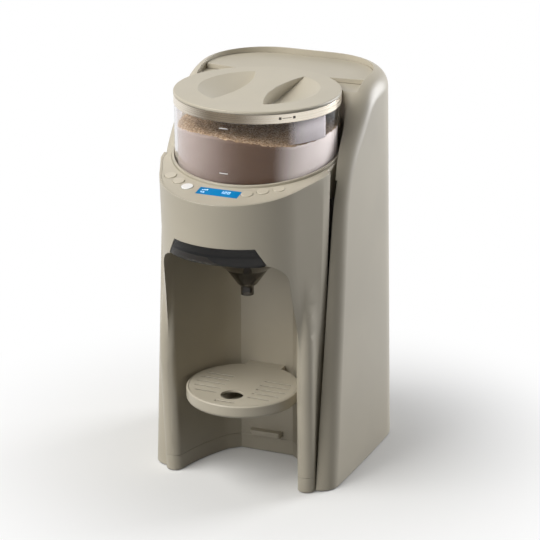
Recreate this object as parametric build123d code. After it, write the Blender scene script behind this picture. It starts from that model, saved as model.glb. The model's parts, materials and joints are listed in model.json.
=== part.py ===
from build123d import *
import os
from math import cos, pi, radians, sin, sqrt, tan

# Baby formula maker: a counter-top machine that meters powder from a round clear
# hopper, heats water from a rear tank and mixes both in a funnel over the bottle.
# Millimetres. +Z up, front towards -Y, origin on the counter under the middle of
# the machine's box.

# ---------------------------------------------------------------- driving sizes
# general mouldings
WALL = 2.6              # wall of the casing mouldings
SEAM = 0.3              # gap between neighbouring casing pieces
SEAT_GAP = 0.3          # gap between a piece that lifts or slides and its seat
RUN_GAP = 0.05          # radial running fit
GROUND_GAP = 1.0        # casing stands this far off the counter, on its feet

# outer shell
SHELL_HALF_W = 96.4     # half width at the counter, its widest place
SHELL_HALF_W_TOP = 95.0
SHELL_REAR = 134.4
SHELL_REAR_TOP = 131.0
SHELL_CORNER_R = 52.0   # rear corners at the counter
SHELL_CORNER_R_TOP = 72.0
SHELL_WIDEST_Y = 70.0   # where the side is widest
SHELL_FRONT_TAPER = 6.0  # how much narrower the shell is at its front edge
SHELL_BULGE = 0.72      # share of that taper already gained halfway back
SHELL_PLAN_FRONT = 30.0  # the plan runs this far past the wing's foot, before the wings are cut
RIM_Z = 378.0           # top of the shell
RIM_ROUND = 18.0        # rounding of the outer top edge and the wing's edge
WING_FOOT_Y = -63.0     # front edge of the shell at the counter
WING_KNEE_Y = -44.0     # front edge where the sweep starts
WING_KNEE_Z = 258.0
WING_WAY = ((16.0, 54.0), (46.0, 89.0))  # sweep's points, back and up from the knee
NOSE_IN_FOOT = 77.0     # inner face of the shell's front edge, at the counter
NOSE_IN_TOP = 84.6      # the same at the panel's height
NOSE_DEPTH_Y = -46.0    # the shell's folded front edge ends here
POCKET_GAP = 3.4        # between the hopper and the pocket behind it
POCKET_FOOT_Z = 300.0   # underside of the wall behind the hopper

# front housing
FRONT_ARC_R = 73.1
FRONT_ARC_Y = -61.3     # centre of the front arc at the panel
FRONT_LEAN = 20.0       # the front leans this far forward from counter to panel
FRONT_ARC_HALF = 68.5   # degrees, where the arc runs out into straight flanks
FLANK_Y = -57.0         # the flanks turn backwards here
FLANK_TOP_X = 80.8
FLANK_FOOT_X = 74.6
FLANK_FLARE = 1.6       # how much wider the flanks are at their rear end

# base, its screws and feet
BASE_SEAM_Z = 16.0      # seam between the base and the housing
SCREW_R = 2.0
SCREW_HEAD_R = 4.0
SCREW_HEAD = 1.3
SCREW_SINK = 0.3        # depth of the heads under the base's underside
SCREW_BITE = 8.0        # length of thread in the boss
BOSS_R = 5.6
BOSS_TALL = 24.0        # of the bosses in the housing's legs
LEG_SCREW = (62.0, -50.0)
FRAME_SCREW = (50.0, 18.0)
FOOT_SINK = 1.2
FOOT_R = 9.0
LEG_FOOT_R = 4.0
FOOT_PLACES = (
    (-66.0, -60.5, LEG_FOOT_R),
    (66.0, -60.5, LEG_FOOT_R),
    (-68.0, 92.0, FOOT_R),
    (68.0, 92.0, FOOT_R),
    (0.0, 30.0, FOOT_R),
)

# control panel
PANEL_Z0 = 319.0        # height of the panel's plane at Y = 0
PANEL_SLOPE = 9.15      # degrees, down to the front
PANEL_THICK = 3.0
PANEL_LIP = 2.4         # the housing's rim round the panel
SCREEN_W = 40.6
SCREEN_D = 13.4
SCREEN_Y = -109.6
SCREEN_REBATE = 1.5     # width of the ledge that carries the window
WINDOW_THICK = 1.2
WINDOW_GAP = 0.1
BUTTON_D = 11.0
BUTTON_GAP = 0.35
BUTTON_PROUD = 0.7
BUTTON_ROUND = 0.6
BUTTON_TRAVEL = 0.8
BUTTON_COLLAR = 0.6     # how far the collar stands out from the cap
BUTTON_COLLAR_GAP = 0.2  # from the collar up to the panel, at rest
BUTTON_COLLAR_THICK = 0.7
BUTTON_STEM_R = 1.8
BUTTON_STEM = 1.9
BUTTON_PITCH = 14.6
BUTTON_ROW_TURN = 35.0  # degrees between a row of buttons and the X axis
BUTTON_LEFT_X = -32.5   # the innermost button of each row
BUTTON_RIGHT_X = 25.8
BUTTON_ROW_Y = -105.8
BOARD_DEPTH = 9.6       # from the panel's face to the top of the board behind it
CIRCUIT_THICK = 1.6
SWITCH_W = 6.0
PILLAR_R = 2.5
PILLAR_PLACES = ((-67.0, -74.0), (67.0, -74.0), (-27.0, -119.5), (27.0, -119.5))

# bay for the bottle
BAY_TOP = 240.0
BAY_REAR = 4.0
BAY_CORNER_R = 22.0
BAY_REAR_HALF = 27.0
BAY_SIDE = ((37.0, -5.0), (53.8, -42.0), (63.5, -99.0))
BAY_ARCH_IN = 1.5       # the arch is this much narrower than the bay's mouth
BAY_SPREAD = 8.0        # how far the cutting plan widens ahead of the machine
BAY_AHEAD = 60.0
HOOK_COUNT = 3          # heights at which the tray hooks in
HOOK_PITCH = 31.3
HOOK_LOW_Z = 19.0
HOOK_HALF_W = 16.0
HOOK_THICK = 5.0
HOOK_REACH = 7.0
HOOK_ROUND = 3.0

# hopper, its seat and lid
HOPPER_Y = -18.6
HOPPER_R = 76.8
HOPPER_WALL = 2.4
HOPPER_FLOOR_Z = 285.0
HOPPER_FOOT_CHAMFER = 1.2
SEAT_SLACK = 0.5        # radial, round the hopper
SEAT_WALL = 2.2
SEAT_FLOOR = 3.0
SEAT_PROUD = 2.1        # collar above the panel
LID_R = 77.5
LID_TOP_Z = 374.4
LID_DISC = 2.8
LID_ROUND = 1.2
LID_RUN = 0.3           # between the lid's disc and the rim it turns on
LID_PLUG = 12.4         # from the top of the lid to the foot of its plug ring
LID_PLUG_WALL = 4.4
LID_PLUG_GAP = 0.3
BAND_DROP = 11.4        # from the top of the lid to the underside of the band
BAND_GAP = 0.4          # between the band and the lid
BAND_IN = 0.1           # the band is this much smaller than the lid
GASKET_DROP = 10.4      # from the top of the lid to the foot of the gasket's groove
GASKET_TALL = 3.0
GASKET_DEPTH = 2.0
SCOOP_R = 56.6          # radius of the finger scoops' outer edge
SCOOP_DEPTH = 14.0
SCOOP_Y = 4.0           # centre of the scoops behind the hopper's axis
GRIP_HALF = 14.0        # half width of the grip bar at its waist
GRIP_END_HALF = 25.0    # and at its ends
GRIP_HALF_LEN = 51.0

# powder drive
GEAR_MODULE = 1.0
DRIVE_TEETH = 72
PINION_TEETH = 12
GEAR_THICK = 7.0
TOOTH_ROOT = 0.34       # half width of a tooth at its root, as a share of the pitch
TOOTH_TIP = 0.12        # and at its tip
GEAR_HOLES = 6
GEAR_HOLE_R = 6.5
GEAR_HOLES_AT = 21.0
DRIVE_GAP_Z = 3.0       # between the seat's floor and the gear
SHAFT_R = 5.0
BEARING_R = 9.0
BEARING_FLANGE = 3.0
BEARING_FLANGE_THICK = 2.5
DOG_R = 9.0
DOG_H = 7.0
DOG_SLOT = 4.0
DOG_GAP = 0.3
DOG_LIFT = 0.2          # from the hopper's floor to the dog
HUB_R = 12.7
HUB_RISE = 9.0          # of the hub over the wheel
WHEEL_R = 70.0
WHEEL_THICK = 5.0
WHEEL_LIFT = 0.4        # between the hopper's floor and the wheel
WHEEL_POCKETS = 6
POCKET_IN = 0.6         # the pockets are this much smaller than the chute
PADDLE_LEN = 44.0
PADDLE_HALF_W = 3.0
PADDLE_THICK = 3.5
PADDLE_TIP = 6.0
PADDLE_TALL = 26.0
DROP_R = 48.0           # radius at which the wheel's pockets pass the chute
CHUTE_R = 8.0
CHUTE_WALL = 2.0
CHUTE_GAP = 1.5         # between the slot's roof and the chute's foot
SCRAPER_HALF_W = 15.0
SCRAPER_THICK = 3.0
SCRAPER_REACH = 11.0    # past the chute's axis
SCRAPER_GAP = 0.4
MOTOR_R = 13.0
MOTOR_CAN_R = 11.8
MOTOR_LEN = 52.0
GEARBOX_LEN = 16.0
MOTOR_SHAFT_R = 2.0
MOTOR_SHAFT_IN = 12.0
MOTOR_CAP_R = 4.0
MOTOR_CAP = 2.5
MOTOR_GAP = 1.2         # between the gear and the bracket
BRACKET_THICK = 2.5
BRACKET_HALF_W = 20.0
BRACKET_BACK = 24.0

# inner frame and main board
FRAME_THICK = 2.5
FRAME_HALF_W = 66.0
FRAME_POST_X = 44.0     # the posts beside the motor start here
FRAME_TAB = ((40.0, 60.0), 28.0)  # screwed tabs: their ends in X and their rear edge
HOSE_ROOM = 2.0         # round the hose where it passes the frame
BOARD_X = (-62.0, -6.0)
BOARD_Z = (130.0, 202.0)
BOARD_EDGE = 6.0        # from the board's edge to its pillars
BOARD_PILLAR = 4.0
BOARD_PILLAR_R = 3.0
BOARD_PARTS = (         # x0, x1, z0, z1 and height of what the board carries
    (-56.0, -34.0, 140.0, 160.0, 15.4),
    (-28.0, -12.0, 142.0, 158.0, 10.4),
    (-56.0, -44.0, 170.0, 192.0, 7.4),
    (-38.0, -12.0, 178.0, 190.0, 5.4),
)

# funnel drawer
FUNNEL_Y = -44.0
SLOT_TOP_Z = 256.0
SLOT_TOP_HALF = 39.5
SLOT_FOOT_HALF = 47.5
FUNNEL_PLATE_Z = 246.0
FUNNEL_PLATE = 2.4
FUNNEL_HALF_W = 42.0
FUNNEL_WALL = 1.8
FUNNEL_SKEW = 1.2       # a sloping wall is this much taller than it is thick
FUNNEL_RIM_R = 38.0
FUNNEL_RIM_FLARE = 2.0
FUNNEL_SPOUT_R = 6.2
FUNNEL_FOOT_Z = 182.0
FUNNEL_STEPS = ((FUNNEL_SPOUT_R, 8.0), (9.6, 11.0), (21.0, 27.0), (FUNNEL_RIM_R, 39.0))
FUNNEL_REAR_GAP = 6.0   # from the drawer's rear edge to the bay's rear plane
FUNNEL_FRONT_GAP = 0.4
FUNNEL_FRONT_IN = 0.2   # the front plate lies this deep in the housing's face
COVER_THICK = 1.6
COVER_RIM = 1.0
RAIL_TALL = 10.0
RAIL_OUT = 9.0          # how far a rail stands out from the drawer's edge
RAIL_GRIP = 1.6         # how far it reaches over the edge
RAIL_FRONT = 44.0       # from the funnel's axis to the rails' front end
RAIL_REAR_GAP = 0.5
STOP_GAP = 2.2
STOP_THICK = 4.0
SENSOR_X = (-30.0, -14.0)
SENSOR_DEEP = 7.5
SENSOR_TALL = 6.0

# water nozzle over the funnel
NOZZLE_Y = -18.0
NOZZLE_Z = 261.0
NOZZLE_R = 5.0
NOZZLE_BORE_R = 2.0
NOZZLE_HEAD = 6.4
NOZZLE_DROP = 1.8
NOZZLE_FLANGE = 2.0
NOZZLE_FLANGE_THICK = 1.5
NOZZLE_BRANCH = 20.0
BRIDGE_HALF = 8.0
COVER_HOLE_R = 6.0

# tray and grille
TRAY_TOP_Z = 94.2
TRAY_THICK = 12.5
TRAY_R = 53.6
TRAY_Y = -55.4
TRAY_WALL = 2.4
TRAY_RIM = 4.6
TRAY_LEDGE = 2.0
TRAY_FOOT_ROUND = 3.5
TRAY_TOP_ROUND = 1.5
TRAY_SOCKET = 3.0       # wall of the socket beside the ledge
TRAY_SOCKET_WALL = 5.0  # and in front of it
TRAY_SOCKET_Y = 30.0    # from the tray's axis to where the socket starts
DRAIN_R = 10.8
DRAIN_Y = -81.7
GRILLE_THICK = 2.4
GRILLE_GAP = 0.3
GRILLE_LIFT = 0.2       # between the grille and its ledge
GRILLE_ROWS = 5
GRILLE_ROW_PITCH = 10.3
GRILLE_SLOT_W = 2.4
GRILLE_SLOT_IN = 16.0   # the long slots start this far from the middle
GRILLE_EDGE = 8.0
FRONT_SLOT_HALF = 10.0
FRONT_SLOT_AT = 17.5    # in front of the drain

# water tank
TANK_HALF_W = 71.0
TANK_FRONT_Y = 68.0
TANK_REAR_Y = 113.0
TANK_CORNER_R = 38.0
TANK_FRONT_R = 6.0
TANK_FLOOR_Z = 116.0
TANK_WALL = 2.2
TANK_TOP_DROP = 5.0     # from the deck's ledge to the tank's rim
WELL_GAP = 0.6
WELL_WALL = 2.0
WELL_FLOOR = 2.4
DECK_DROP = 10.0        # from the shell's top to the ledge on which the tank's lid lies
DECK_IN = 13.5          # width of the rim round the deck
TANK_LID_THICK = 3.0
TANK_LID_GAP = 0.6
TANK_LID_FRONT = 50.0
TANK_LIP = 5.0
TANK_LIP_GAP = 0.5
TANK_LIP_THICK = 2.0
DISH_R = 1600.0
DISH_RISE = 3.0
FLOAT_X = 40.0
FLOAT_R = 9.0
FLOAT_TALL = 12.0
FLOAT_ROUND = 1.5
FLOAT_STEM_R = 2.5
FLOAT_STEM = 30.0
VALVE_X = -40.0
VALVE_R = 10.0
VALVE_NECK_R = 7.95
VALVE_BORE_R = 5.2
VALVE_MOUTH_R = 2.6
VALVE_TOP = 6.0         # of the valve over the tank's floor
VALVE_FLOOR = 2.0
VALVE_BAR_HALF = 1.5
VALVE_GUIDE_R = 3.6
PLUNGER_R = 1.5
PLUNGER_HEAD_R = 4.9
PLUNGER_HEAD = (1.5, 3.5)  # from the plunger's foot
PLUNGER_TOP = 9.0
SPRING_TURNS = 4
SPRING_R = 3.4
SPRING_WIRE_R = 0.4
SPRING_GAP = 0.5
SOCKET_FOOT_Z = 100.0
SOCKET_WALL = 2.0
SOCKET_GAP = 1.3
SOCKET_PIN_R = 1.4
SOCKET_PIN = 6.0
SEAL_Z = (5.0, 8.0)     # over the socket's floor
SEAL_GAP = 0.1

# water circuit
HOSE_R = 6.0
HOSE_GRIP = 5.0         # length of spigot in the line's hose
SPIGOT_R = 4.0
SPIGOT_BORE_R = 2.6
SPIGOT = 11.0
OUTLET_X = VALVE_X + 6.0
PUMP_TOP_Z = 58.0
PUMP_BASE_TOP_Z = 34.0
PUMP_BASE_R = 17.0
PUMP_R = 13.0
LINE_Z = 46.0           # height of the line from the pump to the heater
LINE_X = (-15.0, 13.0)  # ends of the spigots that meet in it
HEATER_X = 34.0
HEATER_TOP_Z = 84.0
HEATER_R = 16.0
HEATER_FLANGE_R = 19.0
HEATER_FLANGE = 3.0
RISER_Y = 48.0          # the riser's plane behind the inner frame
RISER_Z = 74.0
HEATER_SPIGOT = 27.0
HOSE_BEND_R = 12.0

# cord gland
GLAND_X = 30.0
GLAND_Z = 12.0
GLAND_HALF_W = 6.0
GLAND_FLANGE = 2.5
GLAND_BORE_R = 3.4
GLAND_IN = 0.4          # its face lies this deep in the shell's
GLAND_INNER = 4.0       # from the shell's wall to the gland's inner end

# ------------------------------------------------------------- derived sizes
PANEL_TAN = tan(radians(PANEL_SLOPE))
POCKET_R = HOPPER_R + POCKET_GAP
SEAT_IN_R = HOPPER_R + SEAT_SLACK
SEAT_OUT_R = SEAT_IN_R + SEAT_WALL
SEAT_FLOOR_Z = HOPPER_FLOOR_Z - SEAT_GAP
SEAT_UNDER_Z = SEAT_FLOOR_Z - SEAT_FLOOR
HOPPER_IN_R = HOPPER_R - HOPPER_WALL
HOPPER_RIM_Z = LID_TOP_Z - LID_DISC - LID_RUN - BAND_GAP
PLUG_R = HOPPER_IN_R - LID_PLUG_GAP
GASKET_Z = LID_TOP_Z - GASKET_DROP
BAND_FOOT_Z = LID_TOP_Z - BAND_DROP
WHEEL_UNDER_Z = HOPPER_FLOOR_Z + HOPPER_WALL + WHEEL_LIFT
WHEEL_TOP_Z = WHEEL_UNDER_Z + WHEEL_THICK
GEAR_TOP_Z = SEAT_UNDER_Z - DRIVE_GAP_Z
GEAR_UNDER_Z = GEAR_TOP_Z - GEAR_THICK
DRIVE_R = GEAR_MODULE * DRIVE_TEETH / 2
PINION_R = GEAR_MODULE * PINION_TEETH / 2
PINION_Y = HOPPER_Y + DRIVE_R + PINION_R
MOTOR_TOP_Z = GEAR_UNDER_Z - MOTOR_GAP - BRACKET_THICK
DROP_Y = HOPPER_Y - DROP_R
DOG_Z = HOPPER_FLOOR_Z + DOG_LIFT
BUTTON_FOOT = PANEL_THICK + BUTTON_COLLAR_GAP + BUTTON_COLLAR_THICK
LINER_REAR = BAY_REAR + WALL
FRAME_REAR = LINER_REAR + FRAME_THICK
FRAME_FOOT_Z = GROUND_GAP + WALL
SEAM_TOP_Z = BASE_SEAM_Z + SEAM / 2
SEAM_FOOT_Z = BASE_SEAM_Z - SEAM / 2
SCREW_SEAT_Z = GROUND_GAP + SCREW_SINK + SCREW_HEAD
GLAND_REAR_Y = SHELL_REAR - GLAND_IN
GLAND_WALL_Y = GLAND_REAR_Y - WALL
GLAND_NECK = WALL + GLAND_INNER
RAIL_Z = BAY_TOP + WALL
BRIDGE_Z = RAIL_Z + RAIL_TALL
DECK_Z = RIM_Z - DECK_DROP
TANK_TOP_Z = DECK_Z - TANK_TOP_DROP
WELL_FLOOR_Z = TANK_FLOOR_Z - SEAT_GAP
VALVE_Y = (TANK_FRONT_Y + TANK_REAR_Y) / 2
VALVE_FOOT_Z = SOCKET_FOOT_Z + 3.0
PLUNGER_FOOT_Z = SOCKET_FOOT_Z + SOCKET_PIN + SEAT_GAP
BITE = 1.0              # how far a cutting solid runs past what it cuts
TALL = 2 * RIM_Z        # longer than the machine, for cutting solids


# ---------------------------------------------------------------- small helpers
def block(x0, x1, y0, y1, z0, z1):
    """Box between two corners."""
    return Pos((x0 + x1) / 2, (y0 + y1) / 2, (z0 + z1) / 2) * Box(x1 - x0, y1 - y0, z1 - z0)


def slice_y(y0, y1, z0, z1):
    """Everything between two planes across Y and two heights."""
    return block(-TALL, TALL, y0, y1, z0, z1)


def rod(x, y, z0, z1, r):
    """Upright cylinder."""
    return Pos(x, y, (z0 + z1) / 2) * Cylinder(r, z1 - z0)


def ring(x, y, z0, z1, r_out, r_in):
    """Upright tube."""
    return rod(x, y, z0, z1, r_out) - rod(x, y, z0 - BITE, z1 + BITE, r_in)


def rod_y(x, z, y0, y1, r):
    """Cylinder along Y."""
    return Pos(x, (y0 + y1) / 2, z) * Rot(90, 0, 0) * Cylinder(r, y1 - y0)


def rod_x(y, z, x0, x1, r):
    """Cylinder along X."""
    return Pos((x0 + x1) / 2, y, z) * Rot(0, 90, 0) * Cylinder(r, x1 - x0)


def prism(face, z0, z1):
    """Straight upright solid on a plan, between two heights."""
    return extrude(Pos(0, 0, z0) * face, amount=z1 - z0, dir=(0, 0, 1))


def below_panel(drop=0.0):
    """Half space under the panel's sloping plane, moved along its normal by -drop."""
    slab = Box(TALL, TALL, TALL, align=(Align.CENTER, Align.CENTER, Align.MAX))
    return Pos(0, 0, PANEL_Z0) * Rot(PANEL_SLOPE, 0, 0) * Pos(0, 0, -drop) * slab


def panel_slice(top, bottom):
    """Layer parallel to the panel, between two depths under its face."""
    return below_panel(top) - below_panel(bottom)


def panel_z(y):
    """Height of the panel's plane."""
    return PANEL_Z0 + PANEL_TAN * y


def on_panel(x, y):
    """Placement on the panel's plane, above the plan position (x, y)."""
    return Pos(x, y, panel_z(y)) * Rot(PANEL_SLOPE, 0, 0)


def standing(solid_type, *size):
    """Box or cylinder whose foot lies in the plane it is placed on."""
    return solid_type(*size, align=(Align.CENTER, Align.CENTER, Align.MIN))


# ---------------------------------------------------------------- casing forms
def shell_plan(half_w, rear, corner_r, front, inset):
    """Plan of the outer shell: flanks that widen backwards, round rear corners."""
    w = half_w - inset
    back = rear - inset
    r = corner_r - inset
    nose = w - SHELL_FRONT_TAPER
    turn = back - r
    widest = min(SHELL_WIDEST_Y, turn - BITE)
    mid_y = (front + SHELL_WIDEST_Y) / 2
    mid_x = nose + SHELL_FRONT_TAPER * SHELL_BULGE
    corner = r * sin(radians(45))
    outline = [
        Line((-nose, front), (nose, front)),
        ThreePointArc((nose, front), (mid_x, mid_y), (w, widest)),
        Line((w, widest), (w, turn)),
        ThreePointArc((w, turn), (w - r + corner, turn + corner), (w - r, back)),
        Line((w - r, back), (-w + r, back)),
        ThreePointArc((-w + r, back), (-w + r - corner, turn + corner), (-w, turn)),
        Line((-w, turn), (-w, widest)),
        ThreePointArc((-w, widest), (-mid_x, mid_y), (-nose, front)),
    ]
    return make_face(Curve() + outline)


def shell_column(inset, z0, z1):
    """Shell's tapering column between two heights, before the wings are swept."""
    front = WING_FOOT_Y - SHELL_PLAN_FRONT
    plans = []
    for z in (0.0, RIM_Z):
        t = z / RIM_Z
        plan = shell_plan(
            SHELL_HALF_W + t * (SHELL_HALF_W_TOP - SHELL_HALF_W),
            SHELL_REAR + t * (SHELL_REAR_TOP - SHELL_REAR),
            SHELL_CORNER_R + t * (SHELL_CORNER_R_TOP - SHELL_CORNER_R),
            front,
            inset,
        )
        plans.append(Pos(0, 0, z) * plan)
    column = loft(plans, ruled=True)
    return column & slice_y(-TALL, TALL, z0, z1)


def wing_profile(inset, top):
    """Side view of the shell: a straight leaning front edge swept back to the rim."""
    knee = (WING_KNEE_Y + inset, WING_KNEE_Z)
    foot = (WING_FOOT_Y + inset, 0.0)
    lean = Vector(knee[0] - foot[0], knee[1] - foot[1]).normalized()
    crest = (SHELL_WIDEST_Y + inset, top)
    (back_1, up_1), (back_2, up_2) = WING_WAY
    lower = (knee[0] + back_1, WING_KNEE_Z + up_1 - 0.6 * inset)
    upper = (WING_KNEE_Y + back_2 + 0.7 * inset, WING_KNEE_Z + up_2 - inset)
    sweep_edge = Spline([knee, lower, upper, crest], tangents=[lean, (1, 0)])
    outline = [
        Line(foot, knee),
        sweep_edge,
        Line(crest, (TALL / 2, top)),
        Line((TALL / 2, top), (TALL / 2, 0)),
        Line((TALL / 2, 0), foot),
    ]
    face = make_face(Curve() + outline)
    return extrude(Plane.YZ * face, amount=TALL / 2, both=True)


def rounded_shell(inset):
    """Outer form of the shell, or its inner surface when inset by the wall."""
    form = shell_column(inset, 0, RIM_Z - inset) & wing_profile(inset, RIM_Z - inset)
    rim = [e for e in form.edges() if e.center().Z > RIM_Z - inset - 0.1]
    rim = [e for e in rim if e.center().Y > SHELL_WIDEST_Y + inset + 0.1]
    wings = [e for e in form.edges() if abs(e.center().X) > SHELL_HALF_W_TOP - SHELL_FRONT_TAPER]
    wings = [e for e in wings if e.center().Y < SHELL_WIDEST_Y / 2 and e.center().Z > BITE]
    wings = [e for e in wings if e.center().Y < 0 or e.center().Z > WING_KNEE_Z]
    return form.fillet(RIM_ROUND - inset, rim + wings)


def nose_core(grow):
    """Space between the shell's two folded front edges, wider towards the top."""
    faces = []
    for z, half in ((0.0, NOSE_IN_FOOT), (panel_z(0), NOSE_IN_TOP)):
        depth = NOSE_DEPTH_Y + TALL / 2 + grow
        faces.append(Pos(0, NOSE_DEPTH_Y + grow - depth / 2, z) * Rectangle(2 * (half + grow), depth))
    core = loft(faces, ruled=True)
    above = extrude(faces[-1], amount=TALL / 2)
    return core + above


def hopper_pocket(grow, z0):
    """Round pocket for the hopper that flares forward between the wings."""
    flare = [
        (-POCKET_R - grow, HOPPER_Y),
        (POCKET_R + grow, HOPPER_Y),
        (NOSE_IN_TOP + grow, NOSE_DEPTH_Y),
        (NOSE_IN_TOP + grow, -TALL / 2),
        (-NOSE_IN_TOP - grow, -TALL / 2),
        (-NOSE_IN_TOP - grow, NOSE_DEPTH_Y),
    ]
    plan = Pos(0, HOPPER_Y) * Circle(POCKET_R + grow) + make_face(Polyline(*flare, close=True))
    return prism(plan, z0, TALL)


def tank_plan(grow):
    """D-shaped plan of the water tank."""
    w = TANK_HALF_W + grow
    y0 = TANK_FRONT_Y - grow
    y1 = TANK_REAR_Y + grow
    corners = [(-w, y0), (w, y0), (w, y1), (-w, y1)]
    front_r = TANK_FRONT_R + grow
    rear_r = TANK_CORNER_R + grow
    return make_face(FilletPolyline(*corners, radius=[front_r, front_r, rear_r, rear_r], close=True))


def front_plan(z, inset, rear=NOSE_DEPTH_Y):
    """Plan of the front housing at a height: a round front between flaring flanks."""
    t = z / panel_z(FRONT_ARC_Y - FRONT_ARC_R)
    arc_y = FRONT_ARC_Y + FRONT_LEAN * (1 - t)
    r = FRONT_ARC_R - inset
    a = radians(FRONT_ARC_HALF)
    turn = (r * sin(a), arc_y - r * cos(a))
    flank_x = FLANK_FOOT_X + t * (FLANK_TOP_X - FLANK_FOOT_X) - inset
    rear_x = flank_x + FLANK_FLARE
    outline = [
        Line((-rear_x, rear), (-flank_x, FLANK_Y)),
        Line((-flank_x, FLANK_Y), (-turn[0], turn[1])),
        ThreePointArc((-turn[0], turn[1]), (0, arc_y - r), turn),
        Line(turn, (flank_x, FLANK_Y)),
        Line((flank_x, FLANK_Y), (rear_x, rear)),
        Line((rear_x, rear), (-rear_x, rear)),
    ]
    return make_face(Curve() + outline)


def front_form(inset, rear=NOSE_DEPTH_Y):
    """Leaning front body from the counter to above the panel."""
    plans = [Pos(0, 0, z) * front_plan(z, inset, rear) for z in (0.0, panel_z(0))]
    return loft(plans, ruled=True)


def bay_plan():
    """Plan of the bay: a flat rear wall between two curved sides that open forward."""
    (x0, y0), (x1, y1), (x2, y2) = BAY_SIDE
    far_x = x2 + BAY_SPREAD
    far_y = y2 - BAY_AHEAD
    outline = [
        Line((-BAY_REAR_HALF, BAY_REAR), (BAY_REAR_HALF, BAY_REAR)),
        Line((BAY_REAR_HALF, BAY_REAR), (x0, y0)),
        ThreePointArc((x0, y0), (x1, y1), (x2, y2)),
        Line((x2, y2), (far_x, far_y)),
        Line((far_x, far_y), (-far_x, far_y)),
        Line((-far_x, far_y), (-x2, y2)),
        ThreePointArc((-x2, y2), (-x1, y1), (-x0, y0)),
        Line((-x0, y0), (-BAY_REAR_HALF, BAY_REAR)),
    ]
    return make_face(Curve() + outline)


def bay_form(grow):
    """Bay with rounded upper corners, or its outer surface when grown by the wall."""
    plan = bay_plan()
    if grow:
        plan = offset(plan, amount=grow, kind=Kind.INTERSECTION)
    top = BAY_TOP + grow
    column = prism(plan, -BITE, top)
    half = BAY_SIDE[2][0] - BAY_ARCH_IN + grow
    sunk = 5 * BITE
    arch = Pos(0, top / 2 - sunk) * Rectangle(2 * half, top + 2 * sunk)
    arch = fillet([v for v in arch.vertices() if v.Y > 0], BAY_CORNER_R + grow)
    return column & extrude(Plane.XZ * arch, amount=TALL, both=True)


def funnel_slot(clear):
    """Trapezoid passage through the front above the bay, along Y."""
    lean = (SLOT_FOOT_HALF - SLOT_TOP_HALF) / (SLOT_TOP_Z - BAY_TOP)
    foot_z = BAY_TOP - BITE
    foot = SLOT_FOOT_HALF + lean * BITE - clear
    top = SLOT_TOP_HALF - clear
    corners = [(-foot, foot_z), (foot, foot_z), (top, SLOT_TOP_Z - clear), (-top, SLOT_TOP_Z - clear)]
    face = make_face(Polyline(*corners, close=True))
    return extrude(Plane.XZ * face, amount=TALL / 2)


# ---------------------------------------------------------------- casing pieces
def make_outer_shell():
    """Wrap-round shell with two swept wings, hopper pocket and tank mouth."""
    deck = shell_column(DECK_IN, DECK_Z, RIM_Z + BITE)
    under_deck = shell_column(DECK_IN - WALL, DECK_Z - WALL, RIM_Z + BITE)
    cavity = rounded_shell(WALL)
    cavity -= nose_core(WALL)
    cavity -= hopper_pocket(WALL, POCKET_FOOT_Z)
    cavity -= under_deck
    shell = rounded_shell(0) & slice_y(-TALL, TALL, GROUND_GAP, TALL)
    shell -= nose_core(0)
    shell -= hopper_pocket(0, POCKET_FOOT_Z - BITE)
    shell -= deck
    shell -= cavity
    shell -= Pos(0, WALL + 0.1, 0) * nose_core(0)
    between = Pos(0, HOPPER_Y - NOSE_DEPTH_Y, 0) * nose_core(0)
    shell -= between & slice_y(-TALL, TALL, -BITE, POCKET_FOOT_Z)
    shell -= prism(tank_plan(TANK_LID_GAP), DECK_Z - 2 * WALL, TALL)
    return shell - gland_notch(0.1)


def gland_notch(grow):
    """Notch in the shell's rear wall, open downwards, or the gland's neck in it."""
    top = GLAND_Z + GLAND_HALF_W + grow
    x0 = GLAND_X - GLAND_HALF_W - grow
    x1 = GLAND_X + GLAND_HALF_W + grow
    foot = GROUND_GAP - (BITE if grow else 0)
    return block(x0, x1, GLAND_REAR_Y - GLAND_NECK, GLAND_REAR_Y + (BITE if grow else 0), foot, top)


def tray_hooks():
    """Ledges on the bay's rear wall at which the tray hooks in."""
    hooks = Part()
    for i in range(HOOK_COUNT):
        z = HOOK_LOW_Z + i * HOOK_PITCH
        hook = block(-HOOK_HALF_W, HOOK_HALF_W, BAY_REAR - HOOK_REACH, LINER_REAR - BITE, z, z + HOOK_THICK)
        hooks += fillet(hook.edges().filter_by(Axis.Z).group_by(Axis.Y)[0], HOOK_ROUND)
    return hooks


def both_sides(place):
    """A place and its mirror image left of the middle."""
    return ((-place[0], place[1]), place)


def make_front_housing():
    """Front moulding: leaning skin, legs and the liner of the bay."""
    slab = slice_y(-TALL, TALL, SEAM_TOP_Z, TALL)
    form = front_form(0) & below_panel() & slab
    inside = front_form(WALL, NOSE_DEPTH_Y + BITE) & below_panel(PANEL_THICK) & slab
    liner_room = slice_y(-TALL, LINER_REAR, SEAM_TOP_Z, TALL)
    liner = bay_form(WALL) & front_form(0, LINER_REAR) & liner_room
    body = form - inside + liner
    for x, y in both_sides(LEG_SCREW):
        body += rod(x, y, SEAM_TOP_Z, SEAM_TOP_Z + BOSS_TALL, BOSS_R) & front_form(BITE)
    body -= bay_form(0)
    body -= funnel_slot(0) & slice_y(-TALL, BAY_REAR, 0, TALL)
    for x, y in both_sides(LEG_SCREW):
        body -= rod(x, y, 0, SEAM_TOP_Z + BOSS_TALL - 2 * WALL, SCREW_R + RUN_GAP)
    body += tray_hooks()
    recess = front_plan(panel_z(FRONT_ARC_Y), PANEL_LIP, HOPPER_Y)
    body -= prism(recess, 0, TALL) & panel_slice(-BITE, PANEL_THICK)
    return body - rod(0, HOPPER_Y, SEAT_UNDER_Z - SEAM, TALL, SEAT_OUT_R + SEAM)


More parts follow.
